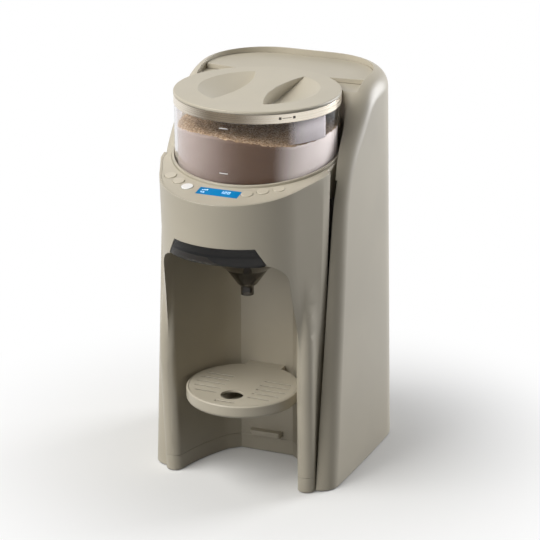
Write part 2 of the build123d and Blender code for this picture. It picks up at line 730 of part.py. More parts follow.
def make_base_frame():
    """Base: a band round the legs and the bay, and the floor plate of the machine."""
    floor_top = FRAME_FOOT_Z
    legs_rear = NOSE_DEPTH_Y + WALL + SEAM
    legs = front_form(0, legs_rear + 0.1) & slice_y(-TALL, TALL, GROUND_GAP, SEAM_FOOT_Z)
    rear = shell_column(WALL + SEAM, GROUND_GAP, floor_top)
    rear &= slice_y(legs_rear, TALL, 0, TALL)
    band = bay_form(WALL) & slice_y(-TALL, LINER_REAR, GROUND_GAP, SEAM_FOOT_Z)
    band &= front_form(0, LINER_REAR)
    room = front_form(WALL, NOSE_DEPTH_Y + BITE) - bay_form(WALL)
    legs -= room & slice_y(-TALL, TALL, floor_top, TALL)
    base = legs + band + rear
    base -= bay_form(0)
    base -= gland_notch(0.1)
    for x, y in both_sides(LEG_SCREW) + both_sides(FRAME_SCREW):
        base -= rod(x, y, 0, BASE_SEAM_Z + WALL, SCREW_R + 2 * RUN_GAP)
        base -= rod(x, y, 0, SCREW_SEAT_Z, SCREW_HEAD_R + 0.2)
    for x, y, r in FOOT_PLACES:
        base -= rod(x, y, 0, GROUND_GAP + FOOT_SINK, r + RUN_GAP)
    return base


def make_rubber_feet():
    """Soft feet let into the base."""
    return [rod(x, y, 0, GROUND_GAP + FOOT_SINK, r) for x, y, r in FOOT_PLACES]


def make_base_screws():
    """Screws that hold the base to the housing and to the inner frame."""
    screws = []
    for places, foot in ((LEG_SCREW, SEAM_TOP_Z), (FRAME_SCREW, FRAME_FOOT_Z)):
        for x, y in both_sides(places):
            head = rod(x, y, SCREW_SEAT_Z - SCREW_HEAD, SCREW_SEAT_Z, SCREW_HEAD_R)
            shank = rod(x, y, SCREW_SEAT_Z, foot + SCREW_BITE, SCREW_R)
            screws.append(head + shank)
    return screws


def make_cord_gland():
    """Gland for the mains cord, trapped in a notch low on the rear."""
    neck = gland_notch(0)
    inner = GLAND_REAR_Y - GLAND_NECK
    x0 = GLAND_X - GLAND_HALF_W - GLAND_FLANGE
    x1 = GLAND_X + GLAND_HALF_W + GLAND_FLANGE
    flange = block(x0, x1, inner, GLAND_WALL_Y, FRAME_FOOT_Z, GLAND_Z + GLAND_HALF_W + GLAND_FLANGE)
    return neck + flange - rod_y(GLAND_X, GLAND_Z, inner - BITE, GLAND_REAR_Y + BITE, GLAND_BORE_R)


# ---------------------------------------------------------------- control panel
def panel_outline(inset):
    """Plan of the panel: the housing's outline without the hopper's circle."""
    outline = front_plan(panel_z(FRONT_ARC_Y), inset, HOPPER_Y - 3 * BITE)
    return outline - Pos(0, HOPPER_Y) * Circle(SEAT_OUT_R + SEAM)


def button_places():
    """Plan positions of the six buttons, left row then right row, inside out."""
    a = radians(BUTTON_ROW_TURN)
    places = []
    for side, x0 in ((-1, BUTTON_LEFT_X), (1, BUTTON_RIGHT_X)):
        for i in range(3):
            out = i * BUTTON_PITCH
            places.append((x0 + side * out * cos(a), BUTTON_ROW_Y + out * sin(a)))
    return places


def make_control_panel():
    """Sloping crescent in front of the hopper, with screen opening and button holes."""
    panel = prism(panel_outline(PANEL_LIP + SEAM / 2), 0, TALL)
    panel &= panel_slice(0, PANEL_THICK)
    screen = on_panel(0, SCREEN_Y)
    panel -= screen * Box(SCREEN_W, SCREEN_D, 2 * WINDOW_THICK)
    panel -= screen * Box(SCREEN_W - 2 * SCREEN_REBATE, SCREEN_D - 2 * SCREEN_REBATE, 4 * PANEL_THICK)
    for x, y in button_places():
        panel -= on_panel(x, y) * Cylinder(BUTTON_D / 2 + BUTTON_GAP, 4 * PANEL_THICK)
    for x, y in PILLAR_PLACES:
        pillar = on_panel(x, y) * Pos(0, 0, -BOARD_DEPTH)
        panel += pillar * standing(Cylinder, PILLAR_R, BOARD_DEPTH - PANEL_THICK)
    return panel


def make_display_window():
    """Clear window let into the panel."""
    window = standing(Box, SCREEN_W - 2 * WINDOW_GAP, SCREEN_D - 2 * WINDOW_GAP, WINDOW_THICK)
    return on_panel(0, SCREEN_Y) * Pos(0, 0, -WINDOW_THICK) * window


def make_display_module():
    """Display behind the window, on the board."""
    under = BOARD_DEPTH - PANEL_THICK - WINDOW_GAP
    w = SCREEN_W - 2 * SCREEN_REBATE
    d = SCREEN_D - 2 * SCREEN_REBATE
    module = Pos(0, 0, -BOARD_DEPTH) * standing(Box, w, SCREEN_D + 2 * SCREEN_REBATE, under)
    screen = standing(Box, w - 4 * WINDOW_GAP, d - 4 * WINDOW_GAP, PANEL_THICK - WINDOW_THICK)
    return on_panel(0, SCREEN_Y) * (module + Pos(0, 0, under - BOARD_DEPTH) * screen)


def make_control_board():
    """Crescent board under the panel that carries display and switches."""
    board = prism(panel_outline(PANEL_LIP + PANEL_THICK), 0, TALL)
    board &= panel_slice(BOARD_DEPTH, BOARD_DEPTH + CIRCUIT_THICK)
    return board - rod(0, HOPPER_Y, 0, TALL, SEAT_OUT_R + PANEL_THICK)


def make_button_switches():
    """Six push switches, one under each button's stem."""
    tall = BOARD_DEPTH - BUTTON_FOOT - BUTTON_STEM - BUTTON_TRAVEL - BUTTON_COLLAR_GAP
    body = Pos(0, 0, -BOARD_DEPTH) * standing(Box, SWITCH_W, SWITCH_W, tall)
    return [on_panel(x, y) * body for x, y in button_places()]


def make_button(x, y):
    """Push button: a domed cap with a collar under the panel and a stem."""
    cap = standing(Cylinder, BUTTON_D / 2, BUTTON_FOOT + BUTTON_PROUD)
    cap = fillet(cap.edges().sort_by(Axis.Z)[-1], BUTTON_ROUND)
    collar = standing(Cylinder, BUTTON_D / 2 + BUTTON_COLLAR, BUTTON_COLLAR_THICK)
    stem = Pos(0, 0, -BUTTON_STEM) * standing(Cylinder, BUTTON_STEM_R, BUTTON_STEM + BUTTON_COLLAR_THICK)
    return on_panel(x, y) * Pos(0, 0, -BUTTON_FOOT) * (cap + collar + stem)


# ---------------------------------------------------------------- hopper
def make_hopper_seat():
    """Cup that holds the hopper, with a collar round it in the panel's plane."""
    cup = rod(0, HOPPER_Y, SEAT_UNDER_Z, LID_TOP_Z, SEAT_OUT_R)
    cup -= rod(0, HOPPER_Y, SEAT_FLOOR_Z, TALL, SEAT_IN_R)
    cup &= below_panel(-SEAT_PROUD)
    cup -= rod(0, HOPPER_Y, 0, TALL, BEARING_R)
    return cup - rod(0, DROP_Y, 0, TALL, CHUTE_R + CHUTE_WALL + RUN_GAP)


def make_shaft_bearing():
    """Flanged bush for the drive shaft in the seat's floor."""
    foot = SEAT_UNDER_Z - BEARING_FLANGE_THICK
    bush = rod(0, HOPPER_Y, foot, SEAT_FLOOR_Z, BEARING_R - RUN_GAP)
    bush += rod(0, HOPPER_Y, foot, SEAT_UNDER_Z, BEARING_R + BEARING_FLANGE)
    return bush - rod(0, HOPPER_Y, 0, TALL, SHAFT_R + RUN_GAP)


def make_powder_chute():
    """Short tube that leads the metered powder to the funnel."""
    return ring(0, DROP_Y, SLOT_TOP_Z + CHUTE_GAP, SEAT_FLOOR_Z, CHUTE_R + CHUTE_WALL, CHUTE_R)


def make_powder_container():
    """Clear round hopper with a hub hole and a drop hole in its floor."""
    cup = rod(0, HOPPER_Y, HOPPER_FLOOR_Z, HOPPER_RIM_Z, HOPPER_R)
    cup = chamfer(cup.edges().group_by(Axis.Z)[0], HOPPER_FOOT_CHAMFER)
    cup -= rod(0, HOPPER_Y, HOPPER_FLOOR_Z + HOPPER_WALL, TALL, HOPPER_IN_R)
    cup -= rod(0, HOPPER_Y, 0, TALL, HUB_R + RUN_GAP)
    return cup - rod(0, DROP_Y, 0, TALL, CHUTE_R)


def make_lid_band():
    """Metal ring round the hopper's rim."""
    top = LID_TOP_Z - LID_DISC - BAND_GAP
    return ring(0, HOPPER_Y, BAND_FOOT_Z, top, LID_R - BAND_IN, HOPPER_R + RUN_GAP)


def make_scraper():
    """Blade over the wheel that levels each pocket before it drops."""
    z0 = WHEEL_TOP_Z + SCRAPER_GAP
    y0 = HOPPER_Y - HOPPER_R
    blade = block(-SCRAPER_HALF_W, SCRAPER_HALF_W, y0, DROP_Y + SCRAPER_REACH, z0, z0 + SCRAPER_THICK)
    return blade & rod(0, HOPPER_Y, 0, TALL, HOPPER_IN_R - RUN_GAP)


def scoops(grow):
    """Two finger scoops left and right of the grip bar, cut by one shallow sphere."""
    sphere_r = (SCOOP_R**2 + SCOOP_DEPTH**2) / (2 * SCOOP_DEPTH)
    centre_y = HOPPER_Y + SCOOP_Y
    ball = Pos(0, centre_y, LID_TOP_Z - SCOOP_DEPTH + sphere_r) * Sphere(sphere_r + grow)
    waist = GRIP_END_HALF - GRIP_HALF
    side_r = (GRIP_HALF_LEN**2 + waist**2) / (2 * waist)
    cut = Part()
    for side in (-1, 1):
        x = side * (GRIP_HALF + side_r)
        cut += ball & rod(x, centre_y, LID_TOP_Z - 2 * SCOOP_DEPTH, LID_TOP_Z + BITE, side_r + grow)
    return cut


def make_hopper_lid():
    """Twist lid: a disc with two finger scoops and a plug ring with a gasket groove."""
    under = LID_TOP_Z - LID_DISC
    disc = rod(0, HOPPER_Y, under, LID_TOP_Z, LID_R)
    disc = fillet(disc.edges().group_by(Axis.Z)[-1], LID_ROUND)
    plug = ring(0, HOPPER_Y, LID_TOP_Z - LID_PLUG, under, PLUG_R, PLUG_R - LID_PLUG_WALL)
    plug -= ring(0, HOPPER_Y, GASKET_Z, GASKET_Z + GASKET_TALL, PLUG_R + BITE, PLUG_R - GASKET_DEPTH)
    bowls = scoops(WALL) & rod(0, HOPPER_Y, 0, under, PLUG_R - BITE)
    return disc + plug + bowls - scoops(0)


def make_lid_gasket():
    """Rubber ring in the lid's groove."""
    low = GASKET_Z + 2 * RUN_GAP
    high = GASKET_Z + GASKET_TALL - 2 * RUN_GAP
    return ring(0, HOPPER_Y, low, high, HOPPER_IN_R - RUN_GAP, PLUG_R - GASKET_DEPTH + RUN_GAP)


# ---------------------------------------------------------------- powder drive
def gear_face(teeth, phase):
    """Spur gear outline: each tooth narrows from root to tip."""
    pitch_r = GEAR_MODULE * teeth / 2
    root = pitch_r - 1.2 * GEAR_MODULE
    tip = pitch_r + 0.95 * GEAR_MODULE
    step = 2 * pi / teeth
    tooth = ((root, -TOOTH_ROOT), (tip, -TOOTH_TIP), (tip, TOOTH_TIP), (root, TOOTH_ROOT))
    points = []
    for i in range(teeth):
        for r, part in tooth:
            a = phase + (i + part) * step
            points.append((r * cos(a), r * sin(a)))
    return make_face(Polyline(*points, close=True))


def dog(clear, z0, z1):
    """Cross-shaped dog, or its socket when given a clearance."""
    long_half = DOG_R + clear
    slim_half = DOG_SLOT / 2 + clear
    bars = block(-long_half, long_half, -slim_half, slim_half, z0, z1)
    bars += block(-slim_half, slim_half, -long_half, long_half, z0, z1)
    return Pos(0, HOPPER_Y, 0) * (bars + rod(0, 0, z0, z1, SHAFT_R + clear))


def make_drive_gear():
    """Large gear with its shaft and the cross dog that turns the powder wheel."""
    gap_at_pinion = pi / 2 + pi / DRIVE_TEETH
    gear = extrude(gear_face(DRIVE_TEETH, gap_at_pinion), amount=GEAR_THICK)
    step = 360 / GEAR_HOLES
    for i in range(GEAR_HOLES):
        gear -= Rot(0, 0, step * (i + 0.5)) * rod(GEAR_HOLES_AT, 0, -BITE, GEAR_THICK + BITE, GEAR_HOLE_R)
    gear = Pos(0, HOPPER_Y, GEAR_UNDER_Z) * gear
    gear += rod(0, HOPPER_Y, GEAR_TOP_Z - BITE / 2, DOG_Z + BITE / 2, SHAFT_R)
    return gear + dog(0, DOG_Z, DOG_Z + DOG_H)


def make_powder_wheel():
    """Metering wheel: a disc with pockets, a hub with the dog's socket and two paddles."""
    wheel = rod(0, HOPPER_Y, WHEEL_UNDER_Z, WHEEL_TOP_Z, WHEEL_R)
    wheel += rod(0, HOPPER_Y, HOPPER_FLOOR_Z + RUN_GAP, WHEEL_TOP_Z + HUB_RISE, HUB_R)
    for i in range(WHEEL_POCKETS):
        turn = Rot(0, 0, 360 / WHEEL_POCKETS * i)
        wheel -= Pos(0, HOPPER_Y, 0) * turn * rod(0, -DROP_R, 0, TALL, CHUTE_R - POCKET_IN)
    arm_top = WHEEL_TOP_Z + HUB_RISE
    arm_z = arm_top - PADDLE_THICK
    arm = block(0, PADDLE_LEN, -PADDLE_HALF_W, PADDLE_HALF_W, arm_z, arm_top)
    tip_x = PADDLE_LEN - PADDLE_TIP
    arm += block(tip_x, PADDLE_LEN, -PADDLE_HALF_W, PADDLE_HALF_W, arm_z, WHEEL_TOP_Z + PADDLE_TALL)
    for turn in (0, 180):
        wheel += Pos(0, HOPPER_Y, 0) * Rot(0, 0, turn) * arm
    return wheel - dog(DOG_GAP, 0, HOPPER_FLOOR_Z + DOG_H + 2 * WHEEL_LIFT)


def make_motor_pinion():
    """Pinion on the gear motor's output shaft."""
    pinion = extrude(gear_face(PINION_TEETH, -pi / 2), amount=GEAR_THICK)
    pinion = Pos(0, PINION_Y, GEAR_UNDER_Z) * pinion
    return pinion + rod(0, PINION_Y, MOTOR_TOP_Z - MOTOR_SHAFT_IN, GEAR_TOP_Z + BITE / 2, MOTOR_SHAFT_R)


def make_gear_motor():
    """Small motor with its reduction gearbox."""
    foot = MOTOR_TOP_Z - MOTOR_LEN
    gearbox_z = MOTOR_TOP_Z - GEARBOX_LEN
    motor = rod(0, PINION_Y, gearbox_z, MOTOR_TOP_Z, MOTOR_R)
    motor += rod(0, PINION_Y, foot, gearbox_z, MOTOR_CAN_R)
    motor += rod(0, PINION_Y, foot - MOTOR_CAP, foot, MOTOR_CAP_R)
    bore_foot = MOTOR_TOP_Z - MOTOR_SHAFT_IN - BITE
    return motor - rod(0, PINION_Y, bore_foot, MOTOR_TOP_Z + BITE, MOTOR_SHAFT_R + RUN_GAP)


def make_motor_bracket():
    """Angle bracket that hangs the gear motor on the inner frame."""
    top = MOTOR_TOP_Z + BRACKET_THICK
    front = PINION_Y - MOTOR_R
    rear = PINION_Y + MOTOR_R + BRACKET_THICK
    plate = block(-BRACKET_HALF_W, BRACKET_HALF_W, FRAME_REAR, rear, MOTOR_TOP_Z, top)
    back = block(-BRACKET_HALF_W, BRACKET_HALF_W, FRAME_REAR, front - SEAM, MOTOR_TOP_Z - BRACKET_BACK, top)
    return plate + back - rod(0, PINION_Y, 0, TALL, MOTOR_SHAFT_R + BITE)


def make_inner_frame():
    """Upright frame behind the bay that carries board, motor and hopper seat."""
    top = MOTOR_TOP_Z + BRACKET_THICK
    frame = block(-FRAME_HALF_W, FRAME_HALF_W, LINER_REAR, FRAME_REAR, FRAME_FOOT_Z, top)
    (tab_in, tab_out), tab_rear = FRAME_TAB
    for side in (-1, 1):
        x0, x1 = sorted((side * FRAME_POST_X, side * FRAME_HALF_W))
        frame += block(x0, x1, LINER_REAR, FRAME_REAR, FRAME_FOOT_Z, SEAT_UNDER_Z)
        x0, x1 = sorted((side * tab_in, side * tab_out))
        frame += block(x0, x1, LINER_REAR, tab_rear, FRAME_FOOT_Z, FRAME_FOOT_Z + WALL)
    for x, y in both_sides(FRAME_SCREW):
        frame += rod(x, y, FRAME_FOOT_Z, FRAME_FOOT_Z + 1.5 * SCREW_BITE, BOSS_R)
        frame -= rod(x, y, 0, FRAME_FOOT_Z + 1.25 * SCREW_BITE, SCREW_R + RUN_GAP)
    gate = HOSE_R + HOSE_ROOM
    frame -= block(HEATER_X - gate, HEATER_X + gate, BAY_REAR, FRAME_REAR + BITE, NOZZLE_Z - gate, TALL)
    for x in (BOARD_X[0] + BOARD_EDGE, BOARD_X[1] - BOARD_EDGE):
        for z in (BOARD_Z[0] + BOARD_EDGE, BOARD_Z[1] - BOARD_EDGE):
            frame += rod_y(x, z, FRAME_REAR - BITE, FRAME_REAR + BOARD_PILLAR, BOARD_PILLAR_R)
    return frame


def make_main_board():
    """Main circuit board with its relay, transformer and connectors."""
    front = FRAME_REAR + BOARD_PILLAR
    back = front + CIRCUIT_THICK
    board = block(*BOARD_X, front, back, *BOARD_Z)
    for x0, x1, z0, z1, tall in BOARD_PARTS:
        board += block(x0, x1, back, back + tall, z0, z1)
    return board


# ---------------------------------------------------------------- funnel
def make_funnel():
    """Clear funnel drawer: front plate in the slot, sloping tray, cone and spout."""
    top_z = FUNNEL_PLATE_Z + FUNNEL_PLATE
    face = front_form(FUNNEL_FRONT_IN) - front_form(FUNNEL_FRONT_IN + FUNNEL_PLATE)
    front = funnel_slot(FUNNEL_FRONT_GAP) & face
    front &= slice_y(-TALL, FUNNEL_Y - FUNNEL_RIM_R / 2, BAY_TOP - BITE / 2, TALL)
    rear = BAY_REAR - FUNNEL_REAR_GAP
    plate = block(-FUNNEL_HALF_W, FUNNEL_HALF_W, -TALL, rear, FUNNEL_PLATE_Z, top_z)
    plate &= front_form(2 * SEAM, BAY_REAR)
    return front + plate + funnel_cone(0) - funnel_cone(FUNNEL_WALL)


def funnel_cone(inset):
    """Dish, cone and spout of the funnel, turned about its own axis."""
    top = FUNNEL_PLATE_Z + (FUNNEL_PLATE + BITE if inset else BITE / 2)
    foot = FUNNEL_FOOT_Z - (BITE if inset else 0)
    lift = inset * FUNNEL_SKEW
    profile = [(0, foot), (FUNNEL_SPOUT_R - inset, foot)]
    for r, rise in FUNNEL_STEPS:
        profile.append((r - inset, FUNNEL_FOOT_Z + rise + lift))
    profile += [(FUNNEL_RIM_R - inset + FUNNEL_RIM_FLARE, top), (0, top)]
    face = make_face(Polyline(*profile, close=True))
    return Pos(0, FUNNEL_Y, 0) * revolve(Plane.XZ * face, axis=Axis.Z)


def make_funnel_cover():
    """Flat cover on the funnel with openings for powder and water."""
    z = FUNNEL_PLATE_Z + FUNNEL_PLATE
    cover = rod(0, FUNNEL_Y, z, z + COVER_THICK, FUNNEL_RIM_R + COVER_RIM)
    cover -= rod(0, DROP_Y, 0, TALL, CHUTE_R + CHUTE_WALL)
    return cover - rod(0, NOZZLE_Y, 0, TALL, COVER_HOLE_R)


def make_funnel_rails():
    """Two slotted rails that hold the funnel drawer, a rear stop and the nozzle's bridge."""
    y0 = FUNNEL_Y - RAIL_FRONT
    y1 = BAY_REAR - RAIL_REAR_GAP
    slot_z = (FUNNEL_PLATE_Z - SEAT_GAP, FUNNEL_PLATE_Z + FUNNEL_PLATE + SEAT_GAP)
    rails = Part()
    for side in (-1, 1):
        x0, x1 = sorted((side * (FUNNEL_HALF_W - RAIL_GRIP), side * (FUNNEL_HALF_W + RAIL_OUT)))
        bar = block(x0, x1, y0, y1, RAIL_Z + SEAM / 2, BRIDGE_Z)
        x0, x1 = sorted((side * (FUNNEL_HALF_W - RAIL_OUT), side * (FUNNEL_HALF_W + FUNNEL_FRONT_GAP)))
        rails += bar - block(x0, x1, y0 - BITE, y1 + BITE, *slot_z)
    stop_z = FUNNEL_PLATE_Z + FUNNEL_PLATE + STOP_GAP
    rails += block(-FUNNEL_HALF_W, FUNNEL_HALF_W, y1 - STOP_THICK, y1, stop_z, BRIDGE_Z)
    bridge = (NOZZLE_Y - BRIDGE_HALF, NOZZLE_Y + BRIDGE_HALF)
    rails += block(-FUNNEL_HALF_W, FUNNEL_HALF_W, *bridge, stop_z, BRIDGE_Z)
    return rails - rod(0, NOZZLE_Y, 0, TALL, NOZZLE_R + RUN_GAP)


def make_funnel_sensor():
    """Switch that feels whether the funnel is home."""
    y1 = BAY_REAR - RAIL_REAR_GAP
    return block(*SENSOR_X, y1 - SENSOR_DEEP, y1, BRIDGE_Z, BRIDGE_Z + SENSOR_TALL)


def make_water_nozzle():
    """Elbow nozzle that sprays into the funnel, seated in the rails' bridge."""
    nozzle = rod(0, NOZZLE_Y, BRIDGE_Z - NOZZLE_DROP, NOZZLE_Z + NOZZLE_HEAD, NOZZLE_R)
    nozzle += rod(0, NOZZLE_Y, BRIDGE_Z, BRIDGE_Z + NOZZLE_FLANGE_THICK, NOZZLE_R + NOZZLE_FLANGE)
    nozzle += rod_x(NOZZLE_Y, NOZZLE_Z, NOZZLE_BORE_R, NOZZLE_BRANCH, SPIGOT_R)
    return nozzle - rod(0, NOZZLE_Y, 0, NOZZLE_Z, NOZZLE_BORE_R)


# ---------------------------------------------------------------- tray
def make_drip_tray():
    """Round drip tray with a socket at its rear for the ledge."""
    z0 = TRAY_TOP_Z - TRAY_THICK
    dish = rod(0, TRAY_Y, z0, TRAY_TOP_Z, TRAY_R)
    dish = fillet(dish.edges().group_by(Axis.Z)[0], TRAY_FOOT_ROUND)
    dish = fillet(dish.edges().group_by(Axis.Z)[-1], TRAY_TOP_ROUND)
    socket_half = HOOK_HALF_W + TRAY_SOCKET
    socket_y = TRAY_Y + TRAY_SOCKET_Y
    tray = dish + block(-socket_half, socket_half, socket_y, BAY_REAR - SEAT_GAP, z0, TRAY_TOP_Z)
    well = rod(0, TRAY_Y, z0 + TRAY_WALL, TALL, TRAY_R - TRAY_RIM)
    tray -= well & slice_y(-TALL, BAY_REAR - HOOK_REACH - TRAY_SOCKET_WALL, 0, TALL)
    tray -= rod(0, TRAY_Y, TRAY_TOP_Z - GRILLE_THICK, TALL, TRAY_R - TRAY_LEDGE)
    ledge_half = HOOK_HALF_W + SEAT_GAP
    ledge_top = HOOK_LOW_Z + (HOOK_COUNT - 1) * HOOK_PITCH + HOOK_THICK + SEAT_GAP
    ledge_y = BAY_REAR - HOOK_REACH - SEAT_GAP
    return tray - block(-ledge_half, ledge_half, ledge_y, TALL, z0 - BITE, ledge_top)


def make_drip_grille():
    """Slotted plate with a drain hole that lies in the tray."""
    z0 = TRAY_TOP_Z - GRILLE_THICK
    plate = rod(0, TRAY_Y, z0 + GRILLE_LIFT, TRAY_TOP_Z, TRAY_R - TRAY_LEDGE - GRILLE_GAP)
    plate -= rod(0, DRAIN_Y, 0, TALL, DRAIN_R)
    for row in range(GRILLE_ROWS):
        y = DRAIN_Y + row * GRILLE_ROW_PITCH
        half = sqrt((TRAY_R - GRILLE_EDGE) ** 2 - (y - TRAY_Y) ** 2)
        for side in (-1, 1):
            plate -= grille_slot(*sorted((side * GRILLE_SLOT_IN, side * half)), y)
    return plate - grille_slot(-FRONT_SLOT_HALF, FRONT_SLOT_HALF, DRAIN_Y - FRONT_SLOT_AT)


def grille_slot(x0, x1, y):
    """Cutter for one straight slot of the grille."""
    half = GRILLE_SLOT_W / 2
    return block(x0, x1, y - half, y + half, TRAY_TOP_Z - 2 * GRILLE_THICK, TRAY_TOP_Z + BITE)


# ---------------------------------------------------------------- water tank
def make_tank_well():
    """Well that guides the tank, with the inlet socket in its floor."""
    well = prism(tank_plan(WELL_GAP + WELL_WALL), WELL_FLOOR_Z - WELL_FLOOR, DECK_Z - WALL)
    well -= prism(tank_plan(WELL_GAP), WELL_FLOOR_Z, TALL)
    socket_r = VALVE_R + SOCKET_GAP
    well += rod(VALVE_X, VALVE_Y, SOCKET_FOOT_Z - WELL_FLOOR, WELL_FLOOR_Z - BITE, socket_r + SOCKET_WALL)
    well -= rod(VALVE_X, VALVE_Y, SOCKET_FOOT_Z, TALL, socket_r)
    well += rod(VALVE_X, VALVE_Y, SOCKET_FOOT_Z - BITE, SOCKET_FOOT_Z + SOCKET_PIN, SOCKET_PIN_R)
    well += rod(OUTLET_X, VALVE_Y, SOCKET_FOOT_Z - BITE - SPIGOT, SOCKET_FOOT_Z - BITE, SPIGOT_R)
    return well - rod(OUTLET_X, VALVE_Y, 0, SOCKET_FOOT_Z + BITE, SPIGOT_BORE_R)


def make_tank_inlet_seal():
    """Ring seal in the inlet socket."""
    z0, z1 = (SOCKET_FOOT_Z + z for z in SEAL_Z)
    return ring(VALVE_X, VALVE_Y, z0, z1, VALVE_R + SOCKET_GAP - RUN_GAP / 2, VALVE_R + SEAL_GAP)


def make_water_tank():
    """Removable tank: a deep D-shaped cup with a stem for the level float."""
    tank = prism(tank_plan(0), TANK_FLOOR_Z, TANK_TOP_Z)
    tank -= prism(tank_plan(-TANK_WALL), TANK_FLOOR_Z + TANK_WALL, TALL)
    tank -= rod(VALVE_X, VALVE_Y, 0, TANK_FLOOR_Z + 2 * TANK_WALL, VALVE_NECK_R + RUN_GAP)
    return tank + rod(FLOAT_X, VALVE_Y, TANK_FLOOR_Z + BITE, TANK_FLOOR_Z + FLOAT_STEM, FLOAT_STEM_R)


def make_level_float():
    """Ring float that rides on a stem in the tank and tells when water is low."""
    z0 = TANK_FLOOR_Z + TANK_WALL + SEAT_GAP
    ring_float = ring(FLOAT_X, VALVE_Y, z0, z0 + FLOAT_TALL, FLOAT_R, FLOAT_STEM_R + SEAT_GAP)
    rim = ring_float.edges().group_by(Axis.Z)[-1].sort_by(SortBy.LENGTH)[-1]
    return fillet(rim, FLOAT_ROUND)


def make_tank_valve():
    """Valve body screwed into the tank's floor."""
    top = TANK_FLOOR_Z + VALVE_TOP
    body = rod(VALVE_X, VALVE_Y, VALVE_FOOT_Z, TANK_FLOOR_Z, VALVE_R)
    body += rod(VALVE_X, VALVE_Y, TANK_FLOOR_Z, top, VALVE_NECK_R)
    body -= rod(VALVE_X, VALVE_Y, VALVE_FOOT_Z + VALVE_FLOOR, top + BITE, VALVE_BORE_R)
    body -= rod(VALVE_X, VALVE_Y, 0, TALL, VALVE_MOUTH_R)
    half = VALVE_BORE_R + BITE
    bar_y = (VALVE_Y - VALVE_BAR_HALF, VALVE_Y + VALVE_BAR_HALF)
    bar = block(VALVE_X - half, VALVE_X + half, *bar_y, top - VALVE_FLOOR, top)
    bar += rod(VALVE_X, VALVE_Y, top - VALVE_FLOOR, top, VALVE_GUIDE_R)
    return body + bar - rod(VALVE_X, VALVE_Y, 0, TALL, PLUNGER_R + RUN_GAP)


def make_valve_plunger():
    """Plunger that the socket's pin pushes up when the tank is home."""
    low, high = (PLUNGER_FOOT_Z + z for z in PLUNGER_HEAD)
    stem = rod(VALVE_X, VALVE_Y, PLUNGER_FOOT_Z, TANK_FLOOR_Z + PLUNGER_TOP, PLUNGER_R)
    return stem + rod(VALVE_X, VALVE_Y, low, high, PLUNGER_HEAD_R)


def make_valve_spring():
    """Light spring that closes the valve when the tank is lifted."""
    z0 = PLUNGER_FOOT_Z + PLUNGER_HEAD[1] + SPRING_GAP
    z1 = TANK_FLOOR_Z + VALVE_TOP - VALVE_FLOOR - SPRING_GAP
    path = Helix(pitch=(z1 - z0) / SPRING_TURNS, height=z1 - z0, radius=SPRING_R)
    section = Plane(origin=path @ 0, z_dir=path % 0) * Circle(SPRING_WIRE_R)
    return Pos(VALVE_X, VALVE_Y, z0) * sweep(section, path=path)


def make_tank_lid():
    """Dished deck that covers the tank, with a lip that drops into its mouth."""
    top = DECK_Z + TANK_LID_THICK + DISH_RISE
    lid = shell_column(DECK_IN + TANK_LID_GAP, DECK_Z + SEAT_GAP, top)
    lid &= slice_y(TANK_LID_FRONT, TALL, 0, TALL)
    lid -= rod(0, HOPPER_Y, 0, TALL, POCKET_R + TANK_LID_GAP)
    dish_y = (HOPPER_Y + POCKET_R + TANK_REAR_Y) / 2
    lid -= Pos(0, dish_y, DECK_Z + TANK_LID_THICK + DISH_R) * Sphere(DISH_R)
    lip_out = TANK_WALL + TANK_LIP_GAP
    lip = prism(tank_plan(-lip_out), TANK_TOP_Z - TANK_LIP, DECK_Z + SEAT_GAP + BITE)
    return lid + lip - prism(tank_plan(-lip_out - TANK_LIP_THICK), 0, DECK_Z + SEAT_GAP)


# ---------------------------------------------------------------- water circuit
def make_water_pump():
    """Pump on the base, under the tank's outlet."""
    pump = rod(OUTLET_X, VALVE_Y, FRAME_FOOT_Z, PUMP_BASE_TOP_Z, PUMP_BASE_R)
    pump += rod(OUTLET_X, VALVE_Y, PUMP_BASE_TOP_Z, PUMP_TOP_Z, PUMP_R)
    pump += rod(OUTLET_X, VALVE_Y, PUMP_TOP_Z - BITE, PUMP_TOP_Z + SPIGOT - BITE, SPIGOT_R)
    return pump + rod_x(VALVE_Y, LINE_Z, OUTLET_X + SPIGOT_R, LINE_X[0] + HOSE_GRIP, SPIGOT_R)


def make_water_heater():
    """Flow heater standing on the base beside the pump."""
    flange_z = FRAME_FOOT_Z + HEATER_FLANGE
    heater = rod(HEATER_X, VALVE_Y, FRAME_FOOT_Z, flange_z, HEATER_FLANGE_R)
    heater += rod(HEATER_X, VALVE_Y, flange_z, HEATER_TOP_Z, HEATER_R)
    heater += rod_x(VALVE_Y, LINE_Z, LINE_X[1] - HOSE_GRIP, HEATER_X - SPIGOT_R, SPIGOT_R)
    return heater + rod_y(HEATER_X, RISER_Z, VALVE_Y - HEATER_SPIGOT, VALVE_Y - SPIGOT_R, SPIGOT_R)


def hose(path):
    """Hose of the standard size along a path of straight runs and arcs."""
    section = Plane(origin=path @ 0, z_dir=path % 0) * (Circle(HOSE_R) - Circle(SPIGOT_R + RUN_GAP / 2))
    return sweep(section, path=path)


def make_supply_hose():
    """Hose from the inlet socket down to the pump."""
    low = PUMP_TOP_Z + BITE
    high = SOCKET_FOOT_Z - WELL_FLOOR - BITE
    return hose(Line((OUTLET_X, VALVE_Y, low), (OUTLET_X, VALVE_Y, high)))


def make_heater_hose():
    """Hose from the pump to the heater."""
    return hose(Line((LINE_X[0], VALVE_Y, LINE_Z), (LINE_X[1], VALVE_Y, LINE_Z)))


